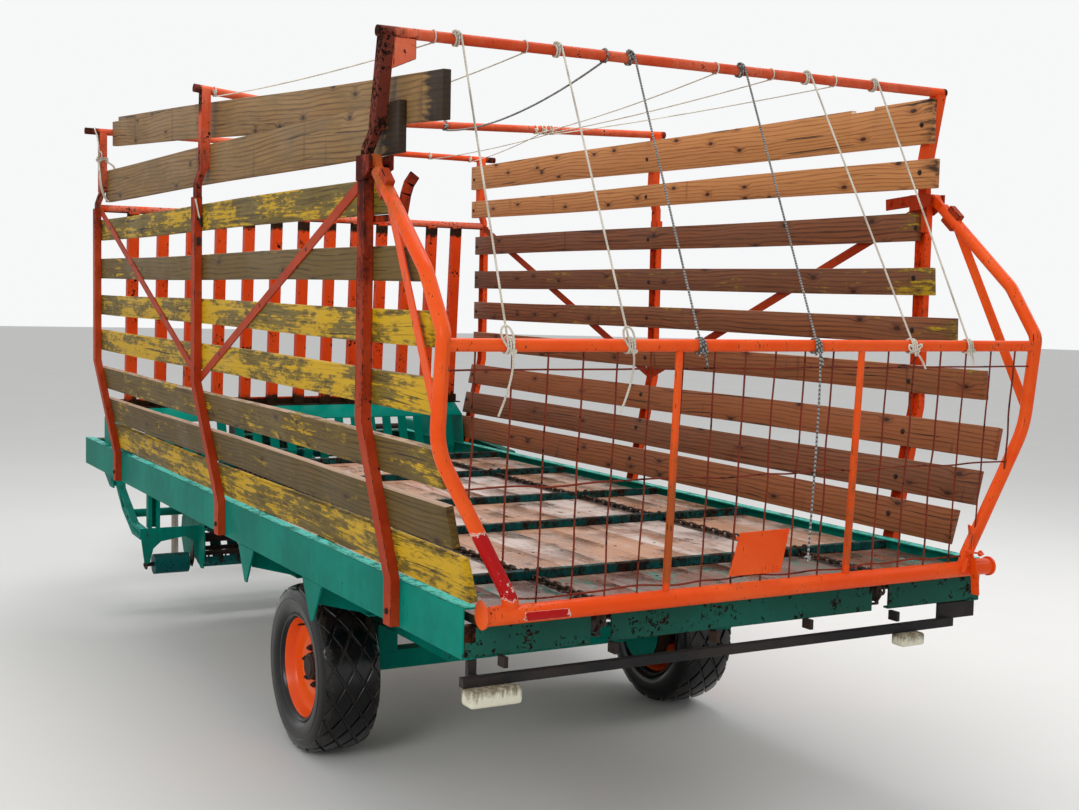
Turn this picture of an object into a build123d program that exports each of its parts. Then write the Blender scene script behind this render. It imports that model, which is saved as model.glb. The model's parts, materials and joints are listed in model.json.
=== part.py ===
from build123d import *
import math
import os

# All sizes in millimetres. X is the wagon's right, Y points to the drawbar, Z is up.
# Lengths along Y are measured from the rear end of the chassis beams, then moved by SHIFT_Y.

# Chassis beams, folded channels open to the inside
BEAM_OUT = 1083.0
BEAM_W = 52.0
BEAM_T = 6.0
BEAM_Z0 = 797.0
BEAM_Z1 = 958.0
BEAM_LEN = 5320.0

# Floor planks and the bearers under them
PLANK_Z1 = 925.0
PLANK_T = 30.0
FLOOR_Y0 = 1.0
FLOOR_Y1 = BEAM_LEN - 1250.0
BEARER_H = 44.0
BEARER_W = 50.0

# Scraper floor
CHAIN_X = 590.0
CHAIN_W = 24.0
CHAIN_T = 14.0
SHAFT_Z = 878.0
REAR_SHAFT_Y = 54.0
FRONT_SHAFT_Y = FLOOR_Y1 - 110.0
SHAFT_R = 16.0
CHAIN_R = 55.0
SCRAPER_W = 34.0
SCRAPER_TOP = 957.0
SCRAPER_X = BEAM_OUT - 59.0

# Wheels and axle
WHEEL_Y = 1720.0
WHEEL_X = 870.0
TYRE_R = 350.0
TYRE_W = 260.0
RIM_R = 203.0
AXLE_SQ = 80.0
STUB_R = 20.0
FIT = 0.08
DRUM_R = 150.0

# Side uprights, folded channels 60 wide
POST_W = 60.0
POST_D = 34.0
POST_T = 5.0
POST_BEND_Z = 1490.0
POST_IN = BEAM_OUT + 110.0
REAR_POST_Y = 500.0
FRONT_POST_Y = BEAM_LEN - 920.0
MID_POST_Y = (REAR_POST_Y + FRONT_POST_Y) / 2 - 20.0
BOARD_T = 28.0

# Hoops
HOOP_R = 18.0
UPRIGHT_W = 46.0
UPRIGHT_D = 26.0
UPRIGHT_Z0 = 2190.0
LEG_W = 50.0
LEG_D = 40.0
UPPER_IN = POST_IN - 33.0

# Tailgate
PIVOT_Y = 440.0
PIVOT_Z = 2318.0
ARM_X = POST_IN + 17.0
ARM_R = 29.0
LOW_R = 38.0
LOW_Y = -50.0
LOW_Z = 944.0
BAR_R = 25.0
BAR_Y = -100.0
BAR_Z = 1762.0
GATE_PIN_R = 10.0
GATE_FOOT_X = BEAM_OUT - 156.0
MESH_D = 6.0

# Pickup
LIFT_Y = BEAM_LEN - 320.0
LIFT_Z = 720.0
LIFT_X = BEAM_OUT - 123.0
LIFT_PIN_R = 16.0
REEL_Y = FRONT_POST_Y + 60.0
REEL_Z = 430.0
REEL_TIP = 208.0
BAR_REACH = 226.0
BAND_R = 165.0
BAND_N = 12
SLOT_PITCH = 104.0
PICK_X = BAND_N * SLOT_PITCH / 2 + 16.0
ROLLER_R = 58.0
ROLLER_Y = FRONT_POST_Y + 20.0
ROLLER_Z = 300.0

# Feed rake
RAKE_Y = FRONT_POST_Y + 160.0
RAKE_Z = 900.0
RAKE_TIP = 290.0
RAKE_PIN_R = 20.0
SLOT_W = 50.0

# Drawbar and hitch
FRONT_Y = BEAM_LEN
EYE_Y = FRONT_Y + 1680.0
EYE_Z = 760.0
EYE_R = 21.0
EYE_THICK = 34.0

SHIFT_Y = -3465.6


def box(x0, x1, y0, y1, z0, z1):
    """Axis aligned box between two corners."""
    return Pos((x0 + x1) / 2, (y0 + y1) / 2, (z0 + z1) / 2) * Box(abs(x1 - x0), abs(y1 - y0), abs(z1 - z0))


def rod(a, b, r):
    """Round bar from point a to point b."""
    va, vb = Vector(*a), Vector(*b)
    d = vb - va
    plane = Plane(origin=va, z_dir=d.normalized())
    return extrude(plane * Circle(r), d.length)


def flat(a, b, wide, thick, normal):
    """Flat bar from a to b, thick along the given normal."""
    va, vb = Vector(*a), Vector(*b)
    d = vb - va
    plane = Plane(origin=va, x_dir=Vector(*normal), z_dir=d.normalized())
    return extrude(plane * Rectangle(thick, wide), d.length)


def prism_x(pts, x0, x1):
    """Polygon in the Y-Z plane carried along X."""
    face = Plane.YZ.offset(x0) * make_face(Polyline(*[(p[0], p[1]) for p in pts], close=True))
    return extrude(face, x1 - x0)


def prism_y(pts, y0, y1):
    """Polygon in the X-Z plane carried along Y."""
    face = Plane(origin=(0, y0, 0), x_dir=(1, 0, 0), z_dir=(0, -1, 0)) * make_face(
        Polyline(*[(p[0], p[1]) for p in pts], close=True))
    return extrude(face, -(y1 - y0))


def tube(points, r, bends):
    """Round tube through the points with a bend radius at each inner corner."""
    pts = [Vector(*p) for p in points]
    edges = []
    start = pts[0]
    for i in range(1, len(pts) - 1):
        a = (pts[i - 1] - pts[i]).normalized()
        b = (pts[i + 1] - pts[i]).normalized()
        half = math.acos(max(-1.0, min(1.0, a.dot(b)))) / 2
        cut = bends[i - 1] / math.tan(half)
        p1, p2 = pts[i] + a * cut, pts[i] + b * cut
        mid = pts[i] + (a + b).normalized() * (bends[i - 1] / math.sin(half) - bends[i - 1])
        edges.append(Line(start, p1))
        edges.append(ThreePointArc(p1, mid, p2))
        start = p2
    edges.append(Line(start, pts[-1]))
    path = Wire(edges)
    d = (pts[1] - pts[0]).normalized()
    return sweep(Plane(origin=pts[0], z_dir=d) * Circle(r), path=path)


def mirror_x(shape):
    """The same shape on the other side of the wagon."""
    return mirror(shape, about=Plane.YZ)


def both(shape):
    """A shape and its mirror image on the other side."""
    return [shape, mirror_x(shape)]


def fuse(parts):
    """One solid, or several where they don't touch, from a list."""
    out = parts[0]
    for p in parts[1:]:
        out = out + p
    return out


# Chassis

def beam(side):
    outer = box(BEAM_OUT - BEAM_W, BEAM_OUT, 0, BEAM_LEN, BEAM_Z0, BEAM_Z1)
    inner = box(BEAM_OUT - BEAM_W - 1, BEAM_OUT - BEAM_T, -1, BEAM_LEN + 1, BEAM_Z0 + BEAM_T, BEAM_Z1 - BEAM_T)
    b = outer - inner
    return b if side > 0 else mirror_x(b)


# Places of the bearers, as shares of the floor's length
BEARERS = [0.081, 0.221, 0.418, 0.639, 0.835, 0.934]


def cross_members():
    web = BEAM_OUT - BEAM_T
    z1 = PLANK_Z1 - PLANK_T
    out = []
    for y in [share * FLOOR_Y1 for share in BEARERS]:
        b = box(-web, web, y - BEARER_W / 2, y + BEARER_W / 2, z1 - BEARER_H, z1)
        out.append(b - box(-web - 1, web + 1, y - BEARER_W / 2 + 5, y + BEARER_W / 2 - 5, z1 - BEARER_H - 1, z1 - 5))
    out.append(box(-web, web, FLOOR_Y1 - 40, FLOOR_Y1, BEAM_Z0 + BEAM_T, z1))
    return out


def front_member():
    web = BEAM_OUT - BEAM_T
    outer = box(-web, web, FRONT_Y - 90, FRONT_Y, BEAM_Z0 + BEAM_T, BEAM_Z1 - BEAM_T)
    return outer - box(-web - 1, web + 1, FRONT_Y - 91, FRONT_Y - 8, BEAM_Z0 + BEAM_T + 8, BEAM_Z1 - BEAM_T - 8)


def rear_member():
    web = BEAM_OUT - BEAM_T
    gap = CHAIN_W / 2 + 26
    out = []
    for x0, x1 in ((-web, -CHAIN_X - gap), (-CHAIN_X + gap, CHAIN_X - gap), (CHAIN_X + gap, web)):
        out.append(box(x0, x1, 0, 7, BEAM_Z0 + BEAM_T, PLANK_Z1 - PLANK_T)
                   + box(x0, x1, 7, 26, BEAM_Z0 + BEAM_T, BEAM_Z0 + BEAM_T + 7))
    return out


AXLE_FRAME = [WHEEL_Y - 420.0, WHEEL_Y + 390.0]
MEMBER_Z0 = 655.0


def axle_members():
    out = []
    for y in AXLE_FRAME:
        pts = [(-BEAM_OUT, BEAM_Z0), (BEAM_OUT, BEAM_Z0), (BEAM_OUT - 30, BEAM_Z0 - 90),
               (BEAM_OUT - 220, MEMBER_Z0), (-BEAM_OUT + 220, MEMBER_Z0), (-BEAM_OUT + 30, BEAM_Z0 - 90)]
        web = prism_y(pts, y - 3, y + 3)
        foot = box(-BEAM_OUT + 220, BEAM_OUT - 220, y - 40, y + 40, MEMBER_Z0 - 7, MEMBER_Z0)
        parts = [web, foot]
        for s in (-1, 1):
            tri = [(y - 105, BEAM_Z0), (y + 105, BEAM_Z0), (y + 12, MEMBER_Z0 - 12), (y - 12, MEMBER_Z0 - 12)]
            parts.append(prism_x(tri, s * (BEAM_OUT - 8), s * BEAM_OUT) if s > 0 else
                         prism_x(tri, -BEAM_OUT, -BEAM_OUT + 8))
        out.append(fuse(parts))
    return out


CARRIER_X = 620.0


def axle_carriers():
    out = []
    for s in (-1, 1):
        x = s * CARRIER_X
        rail = box(x - 40, x + 40, WHEEL_Y - 760, WHEEL_Y + 700, 520, 600)
        feet = [box(x - 40, x + 40, y - 45, y + 45, 600, MEMBER_Z0 - 7) for y in AXLE_FRAME]
        seat = box(x - 45, x + 45, WHEEL_Y - 90, WHEEL_Y + 90, TYRE_R + AXLE_SQ / 2, 520)
        out.append(fuse([rail, seat] + feet))
    return out


def axle():
    half = WHEEL_X - TYRE_W / 2 - 40
    beam_box = box(-half, half, WHEEL_Y - AXLE_SQ / 2, WHEEL_Y + AXLE_SQ / 2,
                   TYRE_R - AXLE_SQ / 2, TYRE_R + AXLE_SQ / 2)
    stubs = rod((-(WHEEL_X + 60), WHEEL_Y, TYRE_R), (WHEEL_X + 60, WHEEL_Y, TYRE_R), STUB_R)
    return beam_box + stubs


def axle_with_plates():
    return fuse([axle()] + brake_back())


def brake_back():
    x = WHEEL_X - TYRE_W / 2 - 40
    return both(rod((x, WHEEL_Y, TYRE_R), (x + 8, WHEEL_Y, TYRE_R), DRUM_R - 6)
                - rod((x - 1, WHEEL_Y, TYRE_R), (x + 9, WHEEL_Y, TYRE_R), STUB_R))


# Wheels, drawn for the right side

def tyre():
    half = TYRE_W / 2
    prof = [(-half + 32, RIM_R), (-half + 4, RIM_R + 40), (-half, RIM_R + 72), (-half + 12, TYRE_R - 26),
            (-half + 34, TYRE_R - 7), (-half + 80, TYRE_R), (half - 80, TYRE_R), (half - 34, TYRE_R - 7),
            (half - 12, TYRE_R - 26), (half, RIM_R + 72), (half - 4, RIM_R + 40), (half - 32, RIM_R)]
    face = Plane.XY * make_face(Polyline(*prof, close=True))
    ring = revolve(face, Axis.X, 360)
    return Pos(WHEEL_X, WHEEL_Y, TYRE_R) * ring


def rim():
    h = TYRE_W / 2
    prof = [(-h + 32, RIM_R), (-h + 32, RIM_R - 10), (-h + 52, RIM_R - 14), (-h + 70, RIM_R - 34),
            (h - 82, RIM_R - 34), (h - 62, RIM_R - 14), (h - 32, RIM_R - 10), (h - 32, RIM_R)]
    band = revolve(Plane.XY * make_face(Polyline(*prof, close=True)), Axis.X, 360)
    disc_prof = [(20, 62), (20, 112), (44, 150), (44, RIM_R - 34), (50, RIM_R - 34), (50, 146), (28, 108), (28, 62)]
    disc = revolve(Plane.XY * make_face(Polyline(*disc_prof, close=True)), Axis.X, 360)
    return Pos(WHEEL_X, WHEEL_Y, TYRE_R) * (band + disc)


def hub():
    inner = WHEEL_X - TYRE_W / 2 - 40 + 14
    x = WHEEL_X
    drum = rod((inner, WHEEL_Y, TYRE_R), (inner + 60, WHEEL_Y, TYRE_R), DRUM_R)
    neck = rod((inner + 60, WHEEL_Y, TYRE_R), (x + 20, WHEEL_Y, TYRE_R), 90)
    nose = rod((x + 20, WHEEL_Y, TYRE_R), (x + 72, WHEEL_Y, TYRE_R), 55)
    solid = drum + neck + nose
    return solid - rod((inner - 1, WHEEL_Y, TYRE_R), (x + 62, WHEEL_Y, TYRE_R), STUB_R + FIT)


# Floor

def planks():
    z0, z1 = PLANK_Z1 - PLANK_T, PLANK_Z1
    edge = BEAM_OUT - BEAM_W - 2
    lane = CHAIN_W / 2 + 22
    out = []
    inner = CHAIN_X - lane
    n = 6
    w = (2 * inner) / n
    for i in range(n):
        x0 = -inner + i * w
        out.append(box(x0 + 1, x0 + w - 1, FLOOR_Y0, FLOOR_Y1, z0, z1))
    for s in (-1, 1):
        out.append(box(s * (CHAIN_X - lane + 1), s * (CHAIN_X + lane - 1), REAR_SHAFT_Y + 88, FRONT_SHAFT_Y - 85, z0, z1))
        outer0 = CHAIN_X + lane
        m = 2
        w2 = (edge - outer0) / m
        for i in range(m):
            out.append(box(s * (outer0 + i * w2 + 1), s * (outer0 + (i + 1) * w2 - 1), FLOOR_Y0, FLOOR_Y1, z0, z1))
    return out


def shafts():
    web = BEAM_OUT - BEAM_T
    out = []
    for y in (REAR_SHAFT_Y, FRONT_SHAFT_Y):
        s = rod((-web, y, SHAFT_Z), (web, y, SHAFT_Z), SHAFT_R)
        for x in (-CHAIN_X, CHAIN_X):
            s = s + rod((x - CHAIN_W / 2, y, SHAFT_Z), (x + CHAIN_W / 2, y, SHAFT_Z), CHAIN_R - CHAIN_T / 2)
        out.append(s)
    return out


def racetrack(r, x0, x1):
    y0, y1 = REAR_SHAFT_Y, FRONT_SHAFT_Y
    mid = box(x0, x1, y0, y1, SHAFT_Z - r, SHAFT_Z + r)
    return mid + rod((x0, y0, SHAFT_Z), (x1, y0, SHAFT_Z), r) + rod((x0, y1, SHAFT_Z), (x1, y1, SHAFT_Z), r)


def chain(side):
    x0, x1 = CHAIN_X - CHAIN_W / 2, CHAIN_X + CHAIN_W / 2
    c = racetrack(CHAIN_R + CHAIN_T / 2, x0, x1) - racetrack(CHAIN_R - CHAIN_T / 2, x0 - 1, x1 + 1)
    return c if side > 0 else mirror_x(c)


# Places of the scraper bars, as shares of the front shaft's place
TOP_BARS = [0.115, 0.350, 0.529, 0.759, 0.957]
LOW_BARS = [0.131, 0.379, 0.596, 0.788]


def scrapers():
    out = []
    for y in [share * FRONT_SHAFT_Y for share in TOP_BARS]:
        b = box(-SCRAPER_X, SCRAPER_X, y - SCRAPER_W / 2, y + SCRAPER_W / 2, PLANK_Z1, SCRAPER_TOP)
        for x in (-CHAIN_X, CHAIN_X):
            b = b - box(x - CHAIN_W / 2, x + CHAIN_W / 2, y - 30, y + 30, PLANK_Z1 - 1, SHAFT_Z + CHAIN_R + CHAIN_T / 2)
        out.append(b)
    low = SHAFT_Z - CHAIN_R - CHAIN_T / 2
    for y in [share * FRONT_SHAFT_Y for share in LOW_BARS]:
        b = box(-SCRAPER_X, SCRAPER_X, y - SCRAPER_W / 2, y + SCRAPER_W / 2, low - 12, low + 14)
        for x in (-CHAIN_X, CHAIN_X):
            b = b - box(x - CHAIN_W / 2, x + CHAIN_W / 2, y - 30, y + 30, low, low + 30)
        out.append(b)
    return out


# Side uprights: y, inner x at the top of the straight part, top z
POSTS = [("rear", REAR_POST_Y, POST_IN, 2338.0), ("mid", MID_POST_Y, POST_IN, 2300.0),
         ("front", FRONT_POST_Y, POST_IN, 2330.0)]


def post(y, x_in, top):
    x0 = BEAM_OUT
    inner = [(x0, BEAM_Z0 + 4), (x0, BEAM_Z1), (x_in, POST_BEND_Z), (x_in, top)]
    outer = [(x_in + POST_D, top), (x_in + POST_D, POST_BEND_Z - 4), (x0 + POST_D, BEAM_Z1 - 4), (x0 + POST_D, BEAM_Z0 + 4)]
    solid = prism_y(inner + outer, y - POST_W / 2, y + POST_W / 2)
    t = POST_T
    c_in = [(x0 - 1, BEAM_Z0 + 4 + t), (x0 - 1, BEAM_Z1), (x_in - 1, POST_BEND_Z), (x_in - 1, top + 1)]
    c_out = [(x_in + POST_D - t, top + 1), (x_in + POST_D - t, POST_BEND_Z - 4), (x0 + POST_D - t, BEAM_Z1 - 4),
             (x0 + POST_D - t, BEAM_Z0 + 4 + t)]
    return solid - prism_y(c_in + c_out, y - POST_W / 2 + t, y + POST_W / 2 - t)


def posts(side):
    out = []
    for name, y, x_in, top in POSTS:
        p = post(y, x_in, top)
        out.append(p if side > 0 else mirror_x(p))
    return out


# Boards: z0, z1, then the rear end's y at z0 and z1 on the left, and the same on the right
BOARDS = [
    ("three", 2157.0, 2270.0, 305.0, 442.0, 496.0, 500.0),
    ("four", 1943.0, 2053.0, 70.0, 190.0, 400.0, 406.0),
    ("five", 1748.0, 1856.0, 20.0, 42.0, 268.0, 271.0),
    ("six", 1548.0, 1660.0, -22.0, -22.0, 100.0, 106.0),
    ("seven", 1326.0, 1446.0, -4.0, -4.0, 12.0, 12.0),
    ("eight", 1144.0, 1274.0, 0.0, 0.0, 66.0, 60.0),
    ("nine", 988.0, 1121.0, -60.0, -48.0, 151.0, 140.0),
]
BOARD_Y1 = FRONT_POST_Y + 36.0


def slope_x(z):
    """Inner face of an upright at height z."""
    if z >= POST_BEND_Z:
        return POST_IN
    return BEAM_OUT + (POST_IN - BEAM_OUT) * (z - BEAM_Z1) / (POST_BEND_Z - BEAM_Z1)


def board(z0, z1, ya, yb):
    """One side board, its rear end cut from y = ya at the foot to yb at the top."""
    xa, xb = slope_x(z0), slope_x(z1)
    if z1 < POST_BEND_Z:
        ang = math.atan2(POST_IN - BEAM_OUT, POST_BEND_Z - BEAM_Z1)
        dx, dz = BOARD_T * math.cos(ang), -BOARD_T * math.sin(ang)
    else:
        dx, dz = BOARD_T, 0.0
    pts = [(xa, z0), (xb, z1), (xb - dx, z1 - dz), (xa - dx, z0 - dz)]
    out = prism_y(pts, min(ya, yb), BOARD_Y1)
    if ya != yb:
        lo, hi = min(ya, yb) - 1, max(ya, yb)
        end = [(lo, z0 - 20), (ya, z0 - 20), (ya, z0), (yb, z1), (yb, z1 + 20), (lo, z1 + 20)]
        out = out - prism_x(end, BEAM_OUT - 183, POST_IN + 107)
    return out


def boards(side):
    out = []
    for name, z0, z1, la, lb, ra, rb in BOARDS:
        b = board(z0, z1, ra, rb) if side > 0 else mirror_x(board(z0, z1, la, lb))
        out.append(b)
    return out


# Upper boards: side, layer counted inwards from the uprights, y0, z0, z1 at y0, y1, z0, z1 at y1
UPPER = [
    ("left", 1, 100.0, 2424.0, 2574.0, FRONT_POST_Y - 28, 2684.0, 2840.0),
    ("left", 0, 360.0, 2348.0, 2512.0, FRONT_POST_Y + 20, 2374.0, 2548.0),
    ("right", 0, 405.0, 2536.0, 2710.0, FRONT_POST_Y + 40, 2566.0, 2710.0),
    ("right", 0, 374.0, 2364.0, 2479.0, FRONT_POST_Y + 30, 2385.0, 2489.0),
]


def upper_boards(side):
    out = []
    for s, layer, y0, a0, a1, y1, b0, b1 in UPPER:
        if s != side:
            continue
        pts = [(y0, a0), (y1, b0), (y1, b1), (y0, a1)]
        x1 = UPPER_IN - layer * BOARD_T
        x0 = x1 - BOARD_T
        out.append(prism_x(pts, x0, x1) if side == "right" else prism_x(pts, -x1, -x0))
    return out


# Hoops: name, upright y, tube y, left end z, right end z, half length, sag
HOOPS = [
    ("rear", REAR_POST_Y, REAR_POST_Y - 80, 2722.0, 2736.0, POST_IN + 19, 0.0),
    ("mid", MID_POST_Y, MID_POST_Y - 18, 2768.0, 2742.0, POST_IN + 37, 70.0),
    ("front", FRONT_POST_Y, FRONT_POST_Y, 2754.0, 2754.0, POST_IN + 82, 0.0),
]


def hoop(name, y_up, y_tube, zl, zr, half, sag):
    """Cross tube with an upright at each end, its foot inside the side post."""
    if sag:
        pts = [(-half, y_tube, zl), (-half * 0.3, y_tube, (zl + zr) / 2 - sag), (half, y_tube, zr)]
        top = tube(pts, HOOP_R, [900.0])
    else:
        top = rod((-half, y_tube, zl), (half, y_tube, zr), HOOP_R)
    parts = [top]
    low, high = PIVOT_Z + 38, PIVOT_Z + 114
    foot_x, leg_x = POST_IN + UPRIGHT_D / 2, UPPER_IN + LEG_D / 2
    for s, z in ((-1, zl), (1, zr)):
        y_high = y_up + (y_tube - y_up) * (high - low) / (z - low)
        parts.append(flat((s * foot_x, y_up, UPRIGHT_Z0), (s * foot_x, y_up, low + 2), UPRIGHT_W, UPRIGHT_D, (1, 0, 0)))
        parts.append(flat((s * foot_x, y_up, low), (s * leg_x, y_high, high), UPRIGHT_W, UPRIGHT_D, (1, 0, 0)))
        parts.append(flat((s * leg_x, y_high, high - 10), (s * leg_x, y_tube, z - 6), LEG_W, LEG_D, (1, 0, 0)))
    return fuse(parts)


# Braces: flat bars between the uprights on the outside of the boards

def braces():
    out = []
    rear_y, mid_y, front_y = POSTS[0][1], POSTS[1][1], POSTS[2][1]
    h = POST_W / 2
    runs = [((rear_y, 2285.0), (mid_y, 1500.0)), ((front_y, 2330.0), (mid_y, 1500.0))]
    for (ya, za), (yb, zb) in runs:
        bar = flat((POST_IN + 3, ya, za), (POST_IN + 3, yb, zb), 40, 6, (1, 0, 0))
        lo, hi = min(ya, yb) + h, max(ya, yb) - h
        bar = bar & box(POST_IN, POST_IN + 6, lo, hi, 1450, 2400)
        out += both(bar)
    return out


# Front wall

GRILLE_N = 13
GRILLE_X = BEAM_OUT - 73.0
GRILLE_TOP_Y = FRONT_POST_Y
GRILLE_FOOT_Y = FRONT_POST_Y + 78.0
GRILLE_TOP_Z = 2332.0
LEDGE_Z = 1205.0


def grille():
    out = [rod((-POST_IN, GRILLE_TOP_Y, GRILLE_TOP_Z), (POST_IN, GRILLE_TOP_Y, GRILLE_TOP_Z), 21)]
    half = BEAM_OUT + 2
    out.append(box(-half, half, GRILLE_FOOT_Y - 30, GRILLE_FOOT_Y + 40, LEDGE_Z, LEDGE_Z + 6)
               + box(-half, half, GRILLE_FOOT_Y + 34, GRILLE_FOOT_Y + 40, LEDGE_Z + 6, LEDGE_Z + 50))
    for i in range(GRILLE_N):
        x = -GRILLE_X + 2 * GRILLE_X * i / (GRILLE_N - 1)
        bar = flat((x, GRILLE_FOOT_Y, LEDGE_Z + 3), (x, GRILLE_TOP_Y, GRILLE_TOP_Z - 12), 46, 60, (1, 0, 0))
        out.append(bar)
    return fuse(out)


FEED_HALF = BEAM_OUT - BEAM_W + 5.0
SHEET_T = 6.0
THROAT_X = PICK_X + 16.0


def feed_front():
    half = FEED_HALF
    y, top, beam_z = FRONT_POST_Y, LEDGE_Z, BEAM_Z1
    up = prism_x([(y + 108, top), (y + 40, top), (y - 70, top - 67), (y - 70, top - 73), (y + 42, top - 6),
                  (y + 108, top - 6)], -half, half)
    fingers = []
    n = 2 * int((FEED_HALF - 30) / SLOT_PITCH) + 1
    w = (SLOT_PITCH - SLOT_W) / 2
    for i in range(n):
        x = (i - (n - 1) / 2) * SLOT_PITCH
        low = (y - 40, 660) if abs(x) < THROAT_X - w else (y - 109, 883)
        fingers.append(prism_x([(y - 70, top - 67), (y - 70, top - 73), (y - 128, 950), low, (low[0] + 6, low[1]),
                                (y - 122, 950), (y - 64, top - 73), (y - 64, top - 67)], x - w, x + w))
    sides = []
    for s in (-1, 1):
        pts = [(y - 100, beam_z), (y + 585, beam_z), (y + 585, top - 95), (y + 540, top - 70), (y + 170, top - 70),
               (y + 108, top), (y + 40, top), (y - 70, top - 67)]
        a, b = s * half, s * (half + SHEET_T)
        sides.append(prism_x(pts, min(a, b), max(a, b)))
    lower = box(-THROAT_X, THROAT_X, y - 44, y - 26, 640, 675)
    outer = [box(s * (THROAT_X + SHEET_T), s * FEED_HALF, y - 114, y - 96, 870, 905) for s in (-1, 1)]
    return fuse([up, lower] + fingers + sides + outer)


def throat():
    """Rear wall and side walls of the throat between the pickup and the floor."""
    y0 = FLOOR_Y1
    wall = prism_x([(y0, 895), (y0, 760), (y0 + 30, 640), (y0 + 70, 560), (y0 + 76, 562), (y0 + 36, 642),
                    (y0 + 6, 762), (y0 + 6, 895)], -THROAT_X, THROAT_X)
    parts = [wall]
    for s in (-1, 1):
        a, b = s * THROAT_X, s * (THROAT_X + SHEET_T)
        y1 = FRONT_POST_Y
        pts = [(y0, 895), (y0, 760), (y0 + 30, 640), (y0 + 70, 560), (y1 - 60, 600), (y1 - 44, 640), (y1 - 44, 675),
               (y1 - 114, 895)]
        parts.append(prism_x(pts, min(a, b), max(a, b)))
    return fuse(parts)


def feed_rake():
    core, end = BEAM_OUT - 55, BEAM_OUT - 9
    parts = [rod((-core, RAKE_Y, RAKE_Z), (core, RAKE_Y, RAKE_Z), 30),
             rod((-end, RAKE_Y, RAKE_Z), (end, RAKE_Y, RAKE_Z), RAKE_PIN_R)]
    for i in range(-6, 6):
        x = (i + 0.5) * SLOT_PITCH
        s = 1 if i % 2 else -1
        parts.append(prism_x([(RAKE_Y + s * 10, RAKE_Z - 28), (RAKE_Y + s * 10, RAKE_Z + 28),
                              (RAKE_Y + s * 150, RAKE_Z + 22), (RAKE_Y + s * (RAKE_TIP - 4), RAKE_Z - 18),
                              (RAKE_Y + s * (RAKE_TIP - 8), RAKE_Z - 34), (RAKE_Y + s * 150, RAKE_Z - 16)],
                             x - 7, x + 7))
    return fuse(parts)


def rake_bearings():
    web = BEAM_OUT - BEAM_T
    b = box(web - 43, web, RAKE_Y - 45, RAKE_Y + 45, RAKE_Z - 42, RAKE_Z + 42)
    b = b - rod((web - 77, RAKE_Y, RAKE_Z), (web + 23, RAKE_Y, RAKE_Z), RAKE_PIN_R + FIT)
    return both(b)


# Pickup, hung from a pivot under the front of the beams

ARCH_Y = FRONT_POST_Y - 30.0


def lift_brackets():
    """Plates with the lift pins, under the front member and the beams."""
    out = []
    xa, seat = LIFT_X, BEAM_Z0 + BEAM_T
    for s in (-1, 1):
        parts = []
        for x0 in (xa - 38, xa + 28):
            a, b = s * x0, s * (x0 + 10)
            pts = [(LIFT_Y - 45, LIFT_Z - 40), (LIFT_Y + 45, LIFT_Z - 40), (FRONT_Y - 20, seat), (FRONT_Y - 90, seat),
                   (LIFT_Y - 20, LIFT_Z + 50)]
            parts.append(prism_x(pts, min(a, b), max(a, b)))
        parts.append(rod((s * (xa - 42), LIFT_Y, LIFT_Z), (s * (xa + 42), LIFT_Y, LIFT_Z), LIFT_PIN_R))
        out.append(fuse(parts))
    return out


def pickup_frame():
    parts = []
    y = REEL_Y
    for s in (-1, 1):
        x = s * LIFT_X
        boss = rod((x - 24, LIFT_Y, LIFT_Z), (x + 24, LIFT_Y, LIFT_Z), 34)
        arm = prism_x([(LIFT_Y - 10, LIFT_Z + 30), (LIFT_Y - 30, LIFT_Z - 22), (y + 340, 568), (y + 100, 462), (ARCH_Y, 456),
                       (ARCH_Y, 520), (y + 100, 528), (y + 340, 648)], x - 20, x + 20)
        arm = arm - prism_x([(LIFT_Y - 90, LIFT_Z - 10), (y + 340, 586), (y + 100, 480), (ARCH_Y + 20, 474), (ARCH_Y + 20, 502),
                             (y + 100, 510), (y + 340, 630), (LIFT_Y - 90, LIFT_Z + 2)], min(x, x + s * 21), max(x, x + s * 21))
        parts.append((boss + arm) - rod((x - 30, LIFT_Y, LIFT_Z), (x + 30, LIFT_Y, LIFT_Z), LIFT_PIN_R + FIT))
        near, far = PICK_X, LIFT_X
        arch = [(far + 20, 520), (near, 520), (near, 345), (near + 22, 345), (near + 32, 430), (near + 80, 462),
                (far - 100, 440), (far - 55, 400), (far - 35, 318), (far - 5, 318), (far + 12, 440)]
        parts.append(prism_y([(s * px, pz) for px, pz in arch], ARCH_Y - 8, ARCH_Y))
        xs = s * (far - 60)
        parts.append(box(xs - 34, xs - 12, ARCH_Y - 8, ARCH_Y + 40, 520, 776)
                     + box(xs + 12, xs + 34, ARCH_Y - 8, ARCH_Y + 40, 520, 776)
                     + box(xs - 34, xs + 34, ARCH_Y + 34, ARCH_Y + 40, 520, 776))
        side = prism_x([(y - 235, 430), (y - 215, 530), (y - 130, 602), (y + 20, 632), (y + 160, 606), (y + 240, 520), (y + 260, 420),
                        (y + 200, 320), (y + 140, 290), (y + 100, 320), (y - 80, 320), (y - 160, 280), (y - 205, 285)],
                       min(s * PICK_X, s * (PICK_X + 8)), max(s * PICK_X, s * (PICK_X + 8)))
        side = side - rod((s * (PICK_X - 5), REEL_Y, REEL_Z), (s * (PICK_X + 15), REEL_Y, REEL_Z), RAKE_PIN_R + FIT)
        parts.append(side)
    parts.append(rod((-LIFT_X - 20, y + 240, 560), (LIFT_X + 20, y + 240, 560), 24))
    return fuse(parts)


BAND_WIDE = 66.0


def around_reel(r, deg):
    """Point at radius r and angle deg round the reel's axis, as (y, z)."""
    a = math.radians(deg)
    return REEL_Y + r * math.cos(a), REEL_Z + r * math.sin(a)


# Ends of the strips behind the reel, as angles
BAND_ENDS = (158.7, 215.2)


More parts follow.
